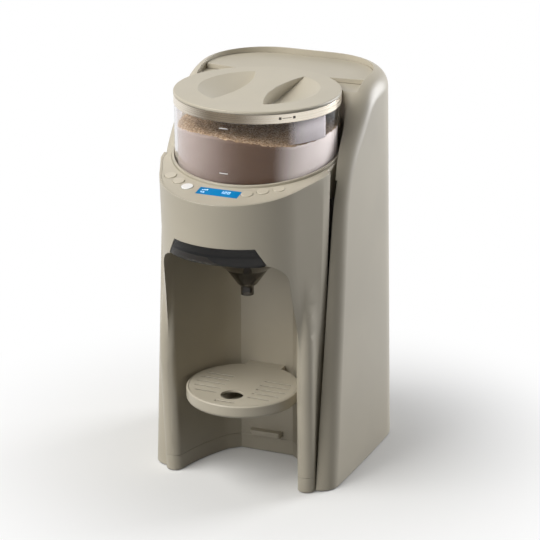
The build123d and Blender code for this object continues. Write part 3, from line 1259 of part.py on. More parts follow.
def make_nozzle_hose():
    """Hose from the heater up behind the bay and over the funnel rails."""
    start = VALVE_Y - HEATER_R - BITE
    route = [
        (HEATER_X, start, RISER_Z),
        (HEATER_X, RISER_Y, RISER_Z),
        (HEATER_X, RISER_Y, NOZZLE_Z),
        (HEATER_X, NOZZLE_Y, NOZZLE_Z),
        (NOZZLE_BRANCH / 2, NOZZLE_Y, NOZZLE_Z),
    ]
    return hose(FilletPolyline(*route, radius=HOSE_BEND_R))


# ---------------------------------------------------------------- writing
def save(name, shape):
    """Write one node, as one solid or as a group of separate solids."""
    if isinstance(shape, list):
        shape = Compound(children=[s.solid() if hasattr(s, "solid") else s for s in shape])
    export_step(shape, f"parts/{name}.step")


def main():
    os.makedirs("parts", exist_ok=True)
    nodes = {
        "outer_shell": make_outer_shell,
        "front_housing": make_front_housing,
        "base_frame": make_base_frame,
        "rubber_feet": make_rubber_feet,
        "base_screws": make_base_screws,
        "inner_frame": make_inner_frame,
        "control_panel": make_control_panel,
        "display_window": make_display_window,
        "display_module": make_display_module,
        "control_board": make_control_board,
        "button_switches": make_button_switches,
        "hopper_seat": make_hopper_seat,
        "shaft_bearing": make_shaft_bearing,
        "powder_chute": make_powder_chute,
        "powder_container": make_powder_container,
        "lid_band": make_lid_band,
        "scraper": make_scraper,
        "hopper_lid": make_hopper_lid,
        "lid_gasket": make_lid_gasket,
        "drive_gear": make_drive_gear,
        "powder_wheel": make_powder_wheel,
        "motor_pinion": make_motor_pinion,
        "gear_motor": make_gear_motor,
        "motor_bracket": make_motor_bracket,
        "main_board": make_main_board,
        "funnel": make_funnel,
        "funnel_cover": make_funnel_cover,
        "funnel_rails": make_funnel_rails,
        "funnel_sensor": make_funnel_sensor,
        "drip_tray": make_drip_tray,
        "drip_grille": make_drip_grille,
        "tank_well": make_tank_well,
        "tank_inlet_seal": make_tank_inlet_seal,
        "water_tank": make_water_tank,
        "level_float": make_level_float,
        "tank_valve": make_tank_valve,
        "valve_plunger": make_valve_plunger,
        "valve_spring": make_valve_spring,
        "tank_lid": make_tank_lid,
        "water_pump": make_water_pump,
        "water_heater": make_water_heater,
        "supply_hose": make_supply_hose,
        "heater_hose": make_heater_hose,
        "nozzle_hose": make_nozzle_hose,
        "water_nozzle": make_water_nozzle,
        "cord_gland": make_cord_gland,
    }
    for name, make in nodes.items():
        save(name, make())
    names = [f"{side}_button_{i}" for side in ("left", "right") for i in (1, 2, 3)]
    for name, place in zip(names, button_places()):
        save(name, make_button(*place))


if __name__ == "__main__":
    main()
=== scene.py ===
"""Baby formula maker: finishes, powder, markings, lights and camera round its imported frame.

Metres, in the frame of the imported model: +Z up, the machine's front towards -Y.
"""
import json
from math import cos, pi, radians, sin, tan

import bmesh
import bpy
import numpy as np
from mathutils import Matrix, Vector

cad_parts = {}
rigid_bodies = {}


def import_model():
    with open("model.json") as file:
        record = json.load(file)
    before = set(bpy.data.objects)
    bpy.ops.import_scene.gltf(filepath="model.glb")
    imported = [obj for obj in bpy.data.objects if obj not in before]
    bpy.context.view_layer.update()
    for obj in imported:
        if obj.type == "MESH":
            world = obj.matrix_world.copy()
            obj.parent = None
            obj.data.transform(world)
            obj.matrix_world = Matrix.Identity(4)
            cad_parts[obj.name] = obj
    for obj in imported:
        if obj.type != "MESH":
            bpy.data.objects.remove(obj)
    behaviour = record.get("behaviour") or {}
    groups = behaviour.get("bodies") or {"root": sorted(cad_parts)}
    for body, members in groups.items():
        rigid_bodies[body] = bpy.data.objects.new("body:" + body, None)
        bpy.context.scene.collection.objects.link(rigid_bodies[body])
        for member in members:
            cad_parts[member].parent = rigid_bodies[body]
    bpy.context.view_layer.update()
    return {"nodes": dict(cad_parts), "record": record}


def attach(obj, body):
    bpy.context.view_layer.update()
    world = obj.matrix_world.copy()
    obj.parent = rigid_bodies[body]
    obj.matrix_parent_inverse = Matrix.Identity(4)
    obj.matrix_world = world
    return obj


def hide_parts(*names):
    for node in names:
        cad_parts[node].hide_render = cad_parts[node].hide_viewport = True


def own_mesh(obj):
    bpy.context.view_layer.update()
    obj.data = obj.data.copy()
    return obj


for thing in list(bpy.data.objects):
    bpy.data.objects.remove(thing)
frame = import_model()

MM = 0.001

# ---------------------------------------------------------------- camera and studio
CAMERA_AT = (0.8171, -1.98255, 0.9712)
CAMERA_AIM = (-0.01336, 0.04434, 0.17394)
CAMERA_LENS = 160.0      # millimetres, on a sensor 36 wide
LAMPS = (
    # name, place, aim, width, height, watts, colour
    ("key", (-1.12, -1.34, 2.10), (0.0, -0.05, 0.20), 2.0, 2.0, 80.0, (1.0, 0.99, 0.965)),
    ("side_fill", (1.30, 1.62, 0.62), (0.05, 0.0, 0.20), 0.8, 1.2, 40.0, (0.98, 0.985, 1.0)),
    ("low_front", (-0.75, -2.0, 0.40), (-0.05, -0.07, 0.10), 1.2, 0.7, 6.0, (1.0, 0.985, 0.96)),
)
AMBIENT = 0.05           # grey of the room, as it lights matt surfaces
FLOOR_GREY = (0.20, 0.20, 0.195)     # as the floor lights the machine from below
FLOOR_PALE = (0.80, 0.80, 0.795)     # as it is seen, under its glow
FLOOR_GLOW = 0.06        # share of plain white in the floor beside the machine
FLOOR_R = 6.0
WHITE = (1.0, 1.0, 1.0, 1.0)
SHADOW_NEAR = 0.09       # the floor keeps its whole shadow out to here
SHADOW_FAR = 0.38        # and none of it from here

# ---------------------------------------------------------------- places on the machine
HOPPER_Y = -18.6 * MM    # the hopper's upright axis stands at x = 0
HOPPER_R = 76.8 * MM     # its wall outside, and its bore
HOPPER_BORE_R = 74.4 * MM
BAND_R = 77.4 * MM       # the metal band round its rim
PANEL_Z0 = 319.0 * MM    # the control panel's height at y = 0, and its slope down to the front
PANEL_SLOPE = radians(9.15)
SCREEN_Y = -109.6 * MM   # the display's middle, and its width
SCREEN_W = 40.6 * MM

FRONT_R = 73.1 * MM      # the front moulding's bow, round an axis that leans forwards
FRONT_Y = -41.3 * MM
FRONT_LEAN = 20.0 / 297.36           # forwards, with height
BAY_SIDE_R = 191.635 * MM            # the bay's side wall, round an upright axis
BAY_SIDE_AT = (-128.107 * MM, -102.281 * MM)
BOW_END = radians(68.5)  # either side of the middle, where a straight run out to the corner starts
CORNER_X, CORNER_Y = 74.6 * MM, -57.0 * MM       # that corner, at the foot
CORNER_SPREAD = 6.2 / 297.36         # sideways, with height
NOSE_R = 8.4 * MM        # each leg's front is a full round
NOSE_FRONT = -71.2 * MM  # its foremost line at the foot, leaning as the bow does
NOSE_LEANS_TO = 115.0 * MM           # upright from here
NOSE_FADE = (135.0 * MM, 229.0 * MM)  # it gives way to the sharp edge of the arch between these heights
NOSE_SIDE = 44.0 * MM    # nothing nearer the middle is rounded
NOSE_BACK = -54.0 * MM   # nor anything behind this
NOSE_CUTS = (20.0, 50.0, 80.0, 100.0, 115.0, 125.0, 135.0, 144.0, 153.0, 162.0, 171.0, 180.0, 188.0,
             196.0, 203.0, 210.0, 216.0, 221.0, 225.0, 229.0)    # heights in millimetres
NOSE_FAN = range(-170, 64, 9)        # degrees of the planes round the round's axis
SAME_POINT = 0.002 * MM  # points of a moulding that lie this near are one
ON_PLANE = 1e-7          # and this near a cutting plane they are on it
SHARP = radians(34.0)    # a fold past this stays an edge


# ---------------------------------------------------------------- node trees
class Tree:
    """A shader tree, with short calls that add a node and join it."""

    def __init__(self, tree):
        self.tree = tree
        tree.nodes.clear()

    def add(self, kind, sockets=(), **settings):
        """A node of that kind. sockets is a dict of input to value, or to the output that feeds it."""
        node = self.tree.nodes.new("ShaderNode" + kind)
        for name, value in settings.items():
            setattr(node, name, value)
        for name, value in dict(sockets).items():
            if isinstance(value, bpy.types.NodeSocket):
                self.tree.links.new(value, node.inputs[name])
            else:
                node.inputs[name].default_value = value
        return node

    def maths(self, operation, first, second=0.0, clamp=False):
        return self.add("Math", {0: first, 1: second}, operation=operation, use_clamp=clamp).outputs[0]

    def between(self, value, low, high, to_low=0.0, to_high=1.0, smooth=True):
        """value, carried from low..high to to_low..to_high and held at its ends."""
        sockets = {"Value": value, "From Min": low, "From Max": high,
                   "To Min": to_low, "To Max": to_high}
        kind = "SMOOTHSTEP" if smooth else "LINEAR"
        return self.add("MapRange", sockets, interpolation_type=kind).outputs["Result"]

    def mixed(self, factor, first, second, blend="MIX"):
        """Two colours mixed by factor."""
        node = self.add("Mix", data_type="RGBA", blend_type=blend)
        for index, value in ((0, factor), (6, first), (7, second)):
            if isinstance(value, bpy.types.NodeSocket):
                self.tree.links.new(value, node.inputs[index])
            else:
                node.inputs[index].default_value = value
        return node.outputs[2]

    def place(self):
        return self.add("TexCoord").outputs["Object"]

    def noise(self, scale, detail=2.0, where=None, rough=0.5):
        sockets = {"Vector": where or self.place(), "Scale": scale, "Detail": detail,
                   "Roughness": rough}
        return self.add("TexNoise", sockets).outputs["Fac"]


def rgba(colour):
    return (*colour, 1.0)


def new_group(name, inputs, outputs):
    """An empty shader group with float inputs (name to default) and named outputs."""
    group = bpy.data.node_groups.new(name, "ShaderNodeTree")
    tree = Tree(group)
    for label, default in inputs.items():
        socket = group.interface.new_socket(label, in_out="INPUT", socket_type="NodeSocketFloat")
        socket.default_value = default
    for label, kind in outputs.items():
        group.interface.new_socket(label, in_out="OUTPUT", socket_type="NodeSocket" + kind)
    ends = [group.nodes.new("NodeGroup" + end) for end in ("Input", "Output")]
    return tree, ends


def edge_wear_group():
    """Where an outer edge is near: the rounded normal turns away from the true one."""
    tree, (entry, out) = new_group("edge_wear", {"Radius": 0.0008, "Strength": 1.0},
                                   {"Mask": "Float", "Normal": "Vector"})
    round_off = tree.add("Bevel", {"Radius": entry.outputs["Radius"]}, samples=6)
    true = tree.add("NewGeometry")
    turn = tree.add("VectorMath", {0: round_off.outputs[0], 1: true.outputs["Normal"]},
                    operation="DOT_PRODUCT").outputs["Value"]
    gone = tree.maths("SUBTRACT", 1.0, turn)
    patchy = tree.between(tree.noise(60.0, 3.0), 0.35, 0.65, 0.45, 1.0)
    mask = tree.maths("MULTIPLY", tree.between(gone, 0.02, 0.25), patchy)
    mask = tree.maths("MULTIPLY", mask, entry.outputs["Strength"], clamp=True)
    tree.tree.links.new(mask, out.inputs["Mask"])
    tree.tree.links.new(round_off.outputs[0], out.inputs["Normal"])
    return tree.tree


def moulded_grain_group():
    """Fine spark-eroded grain as a height, and a slow drift of tone over the moulding."""
    tree, (entry, out) = new_group("moulded_grain", {"Scale": 2200.0}, {"Height": "Float", "Tone": "Float"})
    fine = tree.add("TexNoise", {"Vector": tree.place(), "Scale": entry.outputs["Scale"],
                                 "Detail": 2.0}).outputs["Fac"]
    flow = tree.noise(9.0, 3.0)
    tree.tree.links.new(fine, out.inputs["Height"])
    tree.tree.links.new(flow, out.inputs["Tone"])
    return tree.tree


def counter_dust_group():
    """A thin film on faces that look up, thicker in soft patches."""
    tree, (entry, out) = new_group("counter_dust", {"Amount": 0.1}, {"Mask": "Float"})
    up = tree.add("SeparateXYZ", {0: tree.add("NewGeometry").outputs["Normal"]}).outputs["Z"]
    facing = tree.between(up, 0.55, 1.0)
    patches = tree.between(tree.noise(28.0, 5.0), 0.42, 0.72)
    mask = tree.maths("MULTIPLY", tree.maths("MULTIPLY", facing, patches), entry.outputs["Amount"])
    tree.tree.links.new(mask, out.inputs["Mask"])
    return tree.tree


EDGE_WEAR = edge_wear_group()
MOULDED_GRAIN = moulded_grain_group()
COUNTER_DUST = counter_dust_group()


def new_material(name):
    """A material and its tree, with its two nodes cleared."""
    material = bpy.data.materials.new(name)
    material.use_nodes = True
    return material, Tree(material.node_tree)


def close(tree, shader, end="OutputMaterial"):
    """Ends a material's tree, or the world's, in a shader."""
    tree.tree.links.new(shader, tree.add(end).inputs["Surface"])


def seen_plain(tree):
    """1 where the camera, a reflection or glass looks, and 0 where matt surfaces are lit."""
    path = tree.add("LightPath").outputs
    return tree.maths("ADD", tree.maths("ADD", path["Is Camera Ray"], path["Is Glossy Ray"]),
                      path["Is Transmission Ray"], clamp=True)


def grouped(tree, group, **values):
    """The outputs of a shader group, placed in a tree with its own values."""
    node = tree.add("Group", node_tree=group)
    for label, value in values.items():
        node.inputs[label.title()].default_value = value
    return node.outputs


def moulded(name, colour, roughness, edge=0.8 * MM, grain=0.10, wear=0.25, dust=0.05,
            drift=0.05, coat=0.0, metallic=0.0, specular=0.5):
    """Moulded plastic: drifting tone, fine grain, soft worn edges and a little dust."""
    material, tree = new_material(name)
    edges = grouped(tree, EDGE_WEAR, radius=edge, strength=wear)
    skin = grouped(tree, MOULDED_GRAIN)
    film = grouped(tree, COUNTER_DUST, amount=dust)["Mask"]
    light = tuple(min(1.0, c * (1.0 + drift) + 0.004) for c in colour)
    dark = tuple(c * (1.0 - drift) for c in colour)
    worn = tuple(c + (1.0 - c) * 0.35 for c in colour)
    base = tree.mixed(tree.between(skin["Tone"], 0.3, 0.7), rgba(dark), rgba(light))
    base = tree.mixed(edges["Mask"], base, rgba(worn))
    base = tree.mixed(film, base, (0.62, 0.60, 0.56, 1.0))
    rough = tree.maths("ADD", tree.between(skin["Tone"], 0.3, 0.7, roughness - 0.03, roughness + 0.03),
                       tree.maths("MULTIPLY", film, 1.5), clamp=True)
    normal = tree.add("Bump", {"Height": skin["Height"], "Strength": grain, "Distance": 0.00006,
                               "Normal": edges["Normal"]}).outputs["Normal"]
    shader = tree.add("BsdfPrincipled", {"Base Color": base, "Roughness": rough, "Normal": normal,
                                         "Metallic": metallic, "Coat Weight": coat,
                                         "Coat Roughness": 0.12, "Specular IOR Level": specular})
    close(tree, shader.outputs[0])
    return material


def satin_metal(name, colour, roughness, streaks=None, edge=0.4 * MM, painted_dark_middle=False):
    """Metal, brushed where streaks gives the brush's three scales. When asked, a painted dark reflection
    darkens the middle of the band across, by the sideways coordinate."""
    material, tree = new_material(name)
    edges = grouped(tree, EDGE_WEAR, radius=edge, strength=0.5)
    where = tree.place()
    if streaks:
        where = tree.add("Mapping", {"Vector": where, "Scale": streaks}).outputs[0]
    brush = tree.noise(1.0 if streaks else 900.0, 4.0, where, 0.65)
    bright = tuple(min(1.0, c * 1.12) for c in colour)
    base = tree.mixed(brush, rgba(tuple(c * 0.86 for c in colour)), rgba(bright))
    base = tree.mixed(edges["Mask"], base, rgba(tuple(min(1.0, c * 1.25) for c in colour)))
    if painted_dark_middle:
        across = tree.add("SeparateXYZ", {0: tree.place()}).outputs["X"]
        middle = tree.between(across, -58.0 * MM, -12.0 * MM)
        right = tree.between(across, 8.0 * MM, 58.0 * MM)
        # painted dark reflection: darkest across the middle, none at the sides
        shade = tree.maths("SUBTRACT", middle, right, clamp=True)
        base = tree.mixed(tree.maths("MULTIPLY", shade, 0.96), base, (0.15, 0.12, 0.085, 1.0))
    rough = tree.between(brush, 0.25, 0.75, roughness - 0.06, roughness + 0.08)
    normal = tree.add("Bump", {"Height": brush, "Strength": 0.12, "Distance": 0.00004,
                               "Normal": edges["Normal"]}).outputs["Normal"]
    shader = tree.add("BsdfPrincipled", {"Base Color": base, "Roughness": rough, "Normal": normal,
                                         "Metallic": 1.0})
    close(tree, shader.outputs[0])
    return material


def clear_plastic(name, tint, roughness, shadow_tint, ior=1.49):
    """Clear plastic that lets the lamps through to what lies behind it."""
    material, tree = new_material(name)
    scuffs = tree.between(tree.noise(45.0, 5.0), 0.45, 0.7, roughness, roughness + 0.012)
    glass = tree.add("BsdfPrincipled", {"Base Color": rgba(tint), "Roughness": scuffs,
                                        "Transmission Weight": 1.0, "IOR": ior})
    through = tree.add("BsdfTransparent", {"Color": rgba(shadow_tint)})
    path = tree.add("LightPath")
    mix = tree.add("MixShader", {0: path.outputs["Is Shadow Ray"], 1: glass.outputs[0],
                                 2: through.outputs[0]})
    close(tree, mix.outputs[0])
    return material


# ---------------------------------------------------------------- the machine's finishes
TAUPE = (0.475, 0.432, 0.345)


def shell_plastic():
    return moulded("taupe_shell", TAUPE, 0.40, edge=1.0 * MM)


def housing_plastic():
    return moulded("taupe_housing", tuple(c * 0.985 for c in TAUPE), 0.37, edge=0.9 * MM, metallic=0.10)


def panel_plastic():
    return moulded("taupe_panel", tuple(c * 1.03 for c in TAUPE), 0.34, edge=0.6 * MM)


def lid_plastic():
    return moulded("taupe_lid", tuple(c * 1.05 for c in TAUPE), 0.42, edge=0.8 * MM)


def tray_plastic():
    return moulded("taupe_tray", tuple(c * 1.02 for c in TAUPE), 0.40, edge=0.7 * MM)


def band_metal():
    """Brushed champagne ring: fine streaks round it, slow bright and dark stretches, and a painted dark
    reflection across its middle.
    """
    return satin_metal("champagne_band", (0.80, 0.73, 0.62), 0.25, streaks=(6.0, 6.0, 2600.0), painted_dark_middle=True)


def smoke_clear():
    return clear_plastic("smoke_hopper", (0.87, 0.85, 0.86), 0.0, (0.90, 0.88, 0.88), ior=1.25)


def funnel_clear():
    return clear_plastic("dark_funnel", (0.23, 0.215, 0.20), 0.03, (0.45, 0.44, 0.42), ior=1.33)


def tank_clear():
    return clear_plastic("clear_tank", (0.86, 0.90, 0.92), 0.04, (0.88, 0.92, 0.94))


def button_plastic():
    return moulded("taupe_button", tuple(min(1.0, c * 1.18) for c in TAUPE), 0.30, edge=0.4 * MM, coat=0.2)


def button_white():
    return moulded("white_button", (0.86, 0.86, 0.85), 0.16, edge=0.4 * MM, drift=0.01, coat=0.6)


def display_glass():
    """Lit blue window: an even glow, a shade deeper towards its ends, under a gloss."""
    material, tree = new_material("blue_display")
    across = tree.add("SeparateXYZ", {0: tree.place()}).outputs["X"]
    edge = tree.between(tree.maths("ABSOLUTE", across), 0.25 * SCREEN_W, 0.5 * SCREEN_W)
    cells = tree.noise(1800.0, 1.0)
    glow = tree.mixed(edge, (0.0, 0.215, 0.50, 1.0), (0.0, 0.18, 0.42, 1.0))
    glow = tree.mixed(tree.maths("MULTIPLY", cells, 0.03), glow, (0.1, 0.4, 0.8, 1.0))
    shader = tree.add("BsdfPrincipled", {"Base Color": (0.0, 0.02, 0.06, 1.0), "Roughness": 0.3,
                                         "Emission Color": glow, "Emission Strength": 0.95,
                                         "Specular IOR Level": 0.04})
    close(tree, shader.outputs[0])
    return material


def inner_plastic():
    return moulded("grey_inner", (0.30, 0.29, 0.27), 0.5)


def drive_plastic():
    return moulded("drive_acetal", (0.80, 0.79, 0.75), 0.38, drift=0.02, dust=0.0)


def motor_metal():
    return satin_metal("motor_can", (0.52, 0.52, 0.51), 0.34)


def steel():
    return satin_metal("bright_steel", (0.62, 0.62, 0.62), 0.22, edge=0.2 * MM)


def heater_metal():
    return satin_metal("heater_cast", (0.58, 0.57, 0.55), 0.42)


def circuit_board():
    """Green board with a fine weave in the laminate."""
    material, tree = new_material("green_board")
    weave = tree.add("TexWave", {"Vector": tree.place(), "Scale": 700.0, "Distortion": 0.6},
                     wave_type="BANDS").outputs["Fac"]
    base = tree.mixed(weave, (0.012, 0.10, 0.035, 1.0), (0.02, 0.15, 0.055, 1.0))
    normal = tree.add("Bump", {"Height": weave, "Strength": 0.08, "Distance": 0.00004}).outputs["Normal"]
    shader = tree.add("BsdfPrincipled", {"Base Color": base, "Roughness": 0.34, "Normal": normal})
    close(tree, shader.outputs[0])
    return material


def soft_rubber():
    return moulded("foot_rubber", (0.028, 0.027, 0.026), 0.72, grain=0.3, drift=0.12)


def seal_rubber():
    return moulded("seal_silicone", (0.62, 0.60, 0.57), 0.48, grain=0.05, drift=0.03)


def hose_rubber():
    return moulded("hose_silicone", (0.70, 0.70, 0.68), 0.32, grain=0.05, drift=0.04)


def pump_plastic():
    return moulded("pump_body", (0.05, 0.05, 0.052), 0.45)


FINISHES = {make.__name__: make() for make in (
    shell_plastic, housing_plastic, panel_plastic, lid_plastic, tray_plastic, band_metal, smoke_clear,
    funnel_clear, tank_clear, button_plastic, button_white, display_glass, inner_plastic,
    drive_plastic, motor_metal, steel, heater_metal, circuit_board, soft_rubber, seal_rubber,
    hose_rubber, pump_plastic)}


# crumb colours: the darkest is also the painted shade over the powder's top, and the gap colour is painted
# shade in the pits
CRUMB_DARK_AND_PAINTED_SHADE = (0.20, 0.115, 0.045, 1.0)
CRUMB_PALE = (0.66, 0.51, 0.33, 1.0)
CRUMB_PIT_PAINTED_SHADE = (0.13, 0.07, 0.025, 1.0)
CRUMB_SPECK = (0.80, 0.70, 0.55, 1.0)
# the powder's side on the wall: painted light, painted shade and a painted pale reflection
SIDE_PAINTED_LIGHT = (0.33, 0.29, 0.265, 1.0)
SIDE_PAINTED_SHADE = (0.082, 0.048, 0.028, 1.0)
SIDE_PAINTED_FOOT_SHADE = (0.05, 0.03, 0.02, 1.0)
SIDE_PAINTED_GLARE = (0.80, 0.755, 0.72, 1.0)


def powder_finish():
    """Milk powder: smooth where it is pressed on the wall, brown and crumbly with pale specks on top, with
    painted shade over its top and in its pits, and painted light, shade and reflection along its side.
    """
    material, tree = new_material("milk_powder")
    where = tree.place()
    parts = tree.add("SeparateXYZ", {0: where}).outputs
    up = tree.add("SeparateXYZ", {0: tree.add("NewGeometry").outputs["True Normal"]}).outputs["Z"]
    crumbs = tree.noise(560.0, 6.0, where, 0.75)
    clumps = tree.add("TexVoronoi", {"Vector": where, "Scale": 650.0}).outputs["Distance"]
    top = tree.mixed(tree.between(crumbs, 0.43, 0.60), CRUMB_DARK_AND_PAINTED_SHADE, CRUMB_PALE)
    # painted shade in the pits between crumbs
    top = tree.mixed(tree.between(clumps, 0.0, 0.30), CRUMB_PIT_PAINTED_SHADE, top)
    specks = tree.between(tree.noise(480.0, 5.0, where, 0.85), 0.53, 0.60, 0.0, 0.75)
    top = tree.mixed(specks, top, CRUMB_SPECK)
    # painted shade over the top, deeper towards the right
    shade = tree.between(parts["X"], -30.0 * MM, 34.0 * MM, 0.0, 0.22)
    top = tree.mixed(shade, top, CRUMB_DARK_AND_PAINTED_SHADE)
    # the side on the wall: painted light at its left, painted shade towards its front right and at its foot,
    # and a painted pale reflection at its right flank
    drift = tree.maths("ADD", parts["X"], tree.between(tree.noise(14.0, 1.0, where), 0.2, 0.8,
                                                       -4.0 * MM, 4.0 * MM, smooth=False))
    front = tree.between(drift, -66.0 * MM, 26.0 * MM)
    flank = tree.between(drift, 40.0 * MM, 63.0 * MM)
    low = tree.between(parts["Z"], 292.0 * MM, 326.0 * MM, 0.55, 1.0)
    side = tree.mixed(front, SIDE_PAINTED_LIGHT, SIDE_PAINTED_SHADE)
    side = tree.mixed(low, tree.mixed(0.5, side, SIDE_PAINTED_FOOT_SHADE), side)
    side = tree.mixed(flank, side, SIDE_PAINTED_GLARE)
    base = tree.mixed(tree.between(up, 0.15, 0.45), side, top)
    height = tree.maths("ADD", crumbs, tree.maths("MULTIPLY", clumps, 0.6))
    height = tree.maths("MULTIPLY", height, tree.between(up, 0.15, 0.45, 0.0, 0.9))
    normal = tree.add("Bump", {"Height": height, "Strength": 0.8, "Distance": 0.0008}).outputs["Normal"]
    shader = tree.add("BsdfPrincipled", {"Base Color": base, "Roughness": 0.92, "Normal": normal,
                                         "Specular IOR Level": 0.2})
    close(tree, shader.outputs[0])
    return material


def glare_veil_finish():
    """Painted glare on the hopper's wall above the powder, as a pale veil: dense at the right, thin to its
    left.
    """
    material, tree = new_material("painted_glare_veil")
    across = tree.add("SeparateXYZ", {0: tree.place()}).outputs["X"]
    veil = tree.between(across, 50.0 * MM, 65.0 * MM, 0.0, 0.93)
    mottle = tree.between(tree.noise(700.0, 3.0), 0.3, 0.7, 0.92, 1.0)
    shader = tree.add("BsdfPrincipled", {"Base Color": (0.70, 0.68, 0.69, 1.0), "Roughness": 0.9,
                                         "Alpha": tree.maths("MULTIPLY", veil, mottle),
                                         "Specular IOR Level": 0.1})
    close(tree, shader.outputs[0])
    return material


def print_finish(name, colour, glow=0.0):
    """Printed mark, a little uneven in its ink."""
    material, tree = new_material(name)
    ink = tree.between(tree.noise(500.0, 3.0), 0.3, 0.7, 0.0, 0.15)
    base = tree.mixed(ink, rgba(colour), rgba(tuple(c * 0.8 for c in colour)))
    sockets = {"Base Color": base, "Roughness": 0.5, "Emission Strength": glow}
    if glow:
        sockets["Emission Color"] = base
    shader = tree.add("BsdfPrincipled", sockets)
    close(tree, shader.outputs[0])
    return material


# ---------------------------------------------------------------- meshes
def new_piece(name, points, faces, material, body):
    """A mesh piece that rides on a body and takes its finish from a slot."""
    mesh = bpy.data.meshes.new(name)
    mesh.from_pydata(np.asarray(points, float).tolist(), [], [list(face) for face in faces])
    mesh.validate()
    mesh.update()
    mesh.polygons.foreach_set("use_smooth", np.ones(len(mesh.polygons), bool))
    piece = bpy.data.objects.new(name, mesh)
    bpy.context.scene.collection.objects.link(piece)
    mesh.materials.append(material)
    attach(piece, body)
    return piece


def grid_faces(rows, columns, closed):
    """Quads of a grid of rows x columns points. closed joins the last column to the first."""
    r = np.arange(rows - 1)[:, None]
    c = np.arange(columns if closed else columns - 1)[None, :]
    n = (c + 1) % columns
    return np.stack([r * columns + c, r * columns + n, (r + 1) * columns + n, (r + 1) * columns + c],
                    axis=-1).reshape(-1, 4)


def arc_slab(radius, centre_y, start, end, low, high, thick, steps=14):
    """A thin slab wrapped on an upright cylinder: at each angle from start to end its section is
    the rectangle between radius and radius + thick, and between low and high. Ends are closed."""
    angles = np.radians(np.linspace(start, end, steps))
    section = np.array([(0.0, low), (thick, low), (thick, high), (0.0, high)])
    r = radius + section[None, :, 0]
    x, y, z = np.broadcast_arrays(r * np.cos(angles)[:, None], centre_y + r * np.sin(angles)[:, None],
                                  section[None, :, 1])
    points = np.stack([x, y, z], axis=-1).reshape(-1, 3)
    faces = grid_faces(steps, 4, True).tolist()
    last = (steps - 1) * 4
    return points, faces + [[3, 2, 1, 0], [last, last + 1, last + 2, last + 3]]


def joined(parts):
    """Several (points, faces) as one."""
    points, faces, start = [], [], 0
    for some_points, some_faces in parts:
        points.extend(np.asarray(some_points).tolist())
        faces.extend([[start + i for i in face] for face in some_faces])
        start += len(some_points)
    return points, faces


# ---------------------------------------------------------------- rounded legs
def smooth_step(value, low, high):
    """0 below low, 1 above high, and 3t^2 - 2t^3 of the share t between."""
    t = np.clip((value - low) / (high - low), 0.0, 1.0)
    return t * t * (3.0 - 2.0 * t)


def crossed(centre, way, middle, radius, far):
    """Distance from centre along way to the circle round middle: its far or its near crossing.
    A metre where it is missed."""
    start = centre - middle
    lean = (way * start).sum(axis=-1)
    room = lean ** 2 - (start * start).sum(axis=-1) + radius ** 2
    root = np.sqrt(np.maximum(room, 0.0))
    hit = -lean + root if far else -lean - root
    return np.where((room > 0.0) & (hit > 0.0), hit, 1.0)


def nose_axis(z):
    """Centre of a leg's full round at height z, for the right leg: its foremost point leans with
    the bow up to a height, and it touches the bay's side."""
    y = NOSE_FRONT - FRONT_LEAN * np.minimum(z, NOSE_LEANS_TO) + NOSE_R
    reach = BAY_SIDE_R + NOSE_R
    x = BAY_SIDE_AT[0] + np.sqrt(reach ** 2 - (y - BAY_SIDE_AT[1]) ** 2)
    return np.stack([x, y], axis=-1)


def rounded(points):
    """The points of a leg drawn to its full round. Seen from the round's centre, the sharp form's
    surface is the bay's side, the bow or the straight run, whichever is met first. The round's is
    its radius, and past its tangent the line to the corner, radius over the cosine of the turn.
    Every distance is scaled by the second over the first, and by less of it up the fade."""
    flip = np.where(points[:, 0] < 0.0, -1.0, 1.0)
    z = points[:, 2]
    flat = np.stack([points[:, 0] * flip, points[:, 1]], axis=-1)
    centre = nose_axis(z)
    reach = flat - centre
    length = np.maximum(np.linalg.norm(reach, axis=-1), 1e-9)
    way = reach / length[:, None]
    angle = np.arctan2(way[:, 1], way[:, 0])
    bow = np.stack([np.zeros_like(z), FRONT_Y - FRONT_LEAN * z], axis=-1)
    side = np.broadcast_to(BAY_SIDE_AT, bow.shape)
    corner = np.stack([CORNER_X + CORNER_SPREAD * z, np.full_like(z, CORNER_Y)], axis=-1)
    end = bow + FRONT_R * np.array([sin(BOW_END), -cos(BOW_END)])
    to_bow = crossed(centre, way, bow, FRONT_R, True)
    met = centre + way * to_bow[:, None] - bow
    past = np.arctan2(met[:, 0], -met[:, 1]) > BOW_END
    run = corner - end
    across = np.stack([run[:, 1], -run[:, 0]], axis=-1)
    facing = (way * across).sum(axis=-1)
    to_run = ((end - centre) * across).sum(axis=-1) / np.where(np.abs(facing) < 1e-9, 1e-9, facing)
    sharp = np.minimum(np.where(past, np.abs(to_run), to_bow), crossed(centre, way, side, BAY_SIDE_R, False))
    to_corner = corner - centre
    corner_way = np.arctan2(to_corner[:, 1], to_corner[:, 0])
    tangent = corner_way - np.arccos(np.minimum(NOSE_R / np.linalg.norm(to_corner, axis=-1), 1.0))
    round_off = NOSE_R / np.cos(np.maximum(angle - tangent, 0.0))
    touch = np.arctan2(side[:, 1] - centre[:, 1], side[:, 0] - centre[:, 0])
    inside = ((angle > touch) & (angle < corner_way) & (length < 1.5 * sharp) & (z < NOSE_FADE[1])
              & (flat[:, 0] > NOSE_SIDE) & (flat[:, 1] < NOSE_BACK))
    share = np.where(inside, 1.0 - smooth_step(z, *NOSE_FADE), 0.0)
    drawn = np.minimum(length * round_off / sharp, round_off)
    moved = centre + way * (length + share * (drawn - length))[:, None]
    return np.stack([moved[:, 0] * flip, moved[:, 1], z], axis=-1)


def near_nose(form, flip):
    """The faces, edges and points of one leg's front."""
    faces = [f for f in form.faces
             if any(v.co.x * flip > NOSE_SIDE and v.co.y < NOSE_BACK and v.co.z < NOSE_FADE[1] + 4 * MM
                    for v in f.verts)]
    edges = {e for f in faces for e in f.edges}
    points = {v for f in faces for v in f.verts}
    return faces + list(edges) + list(points)


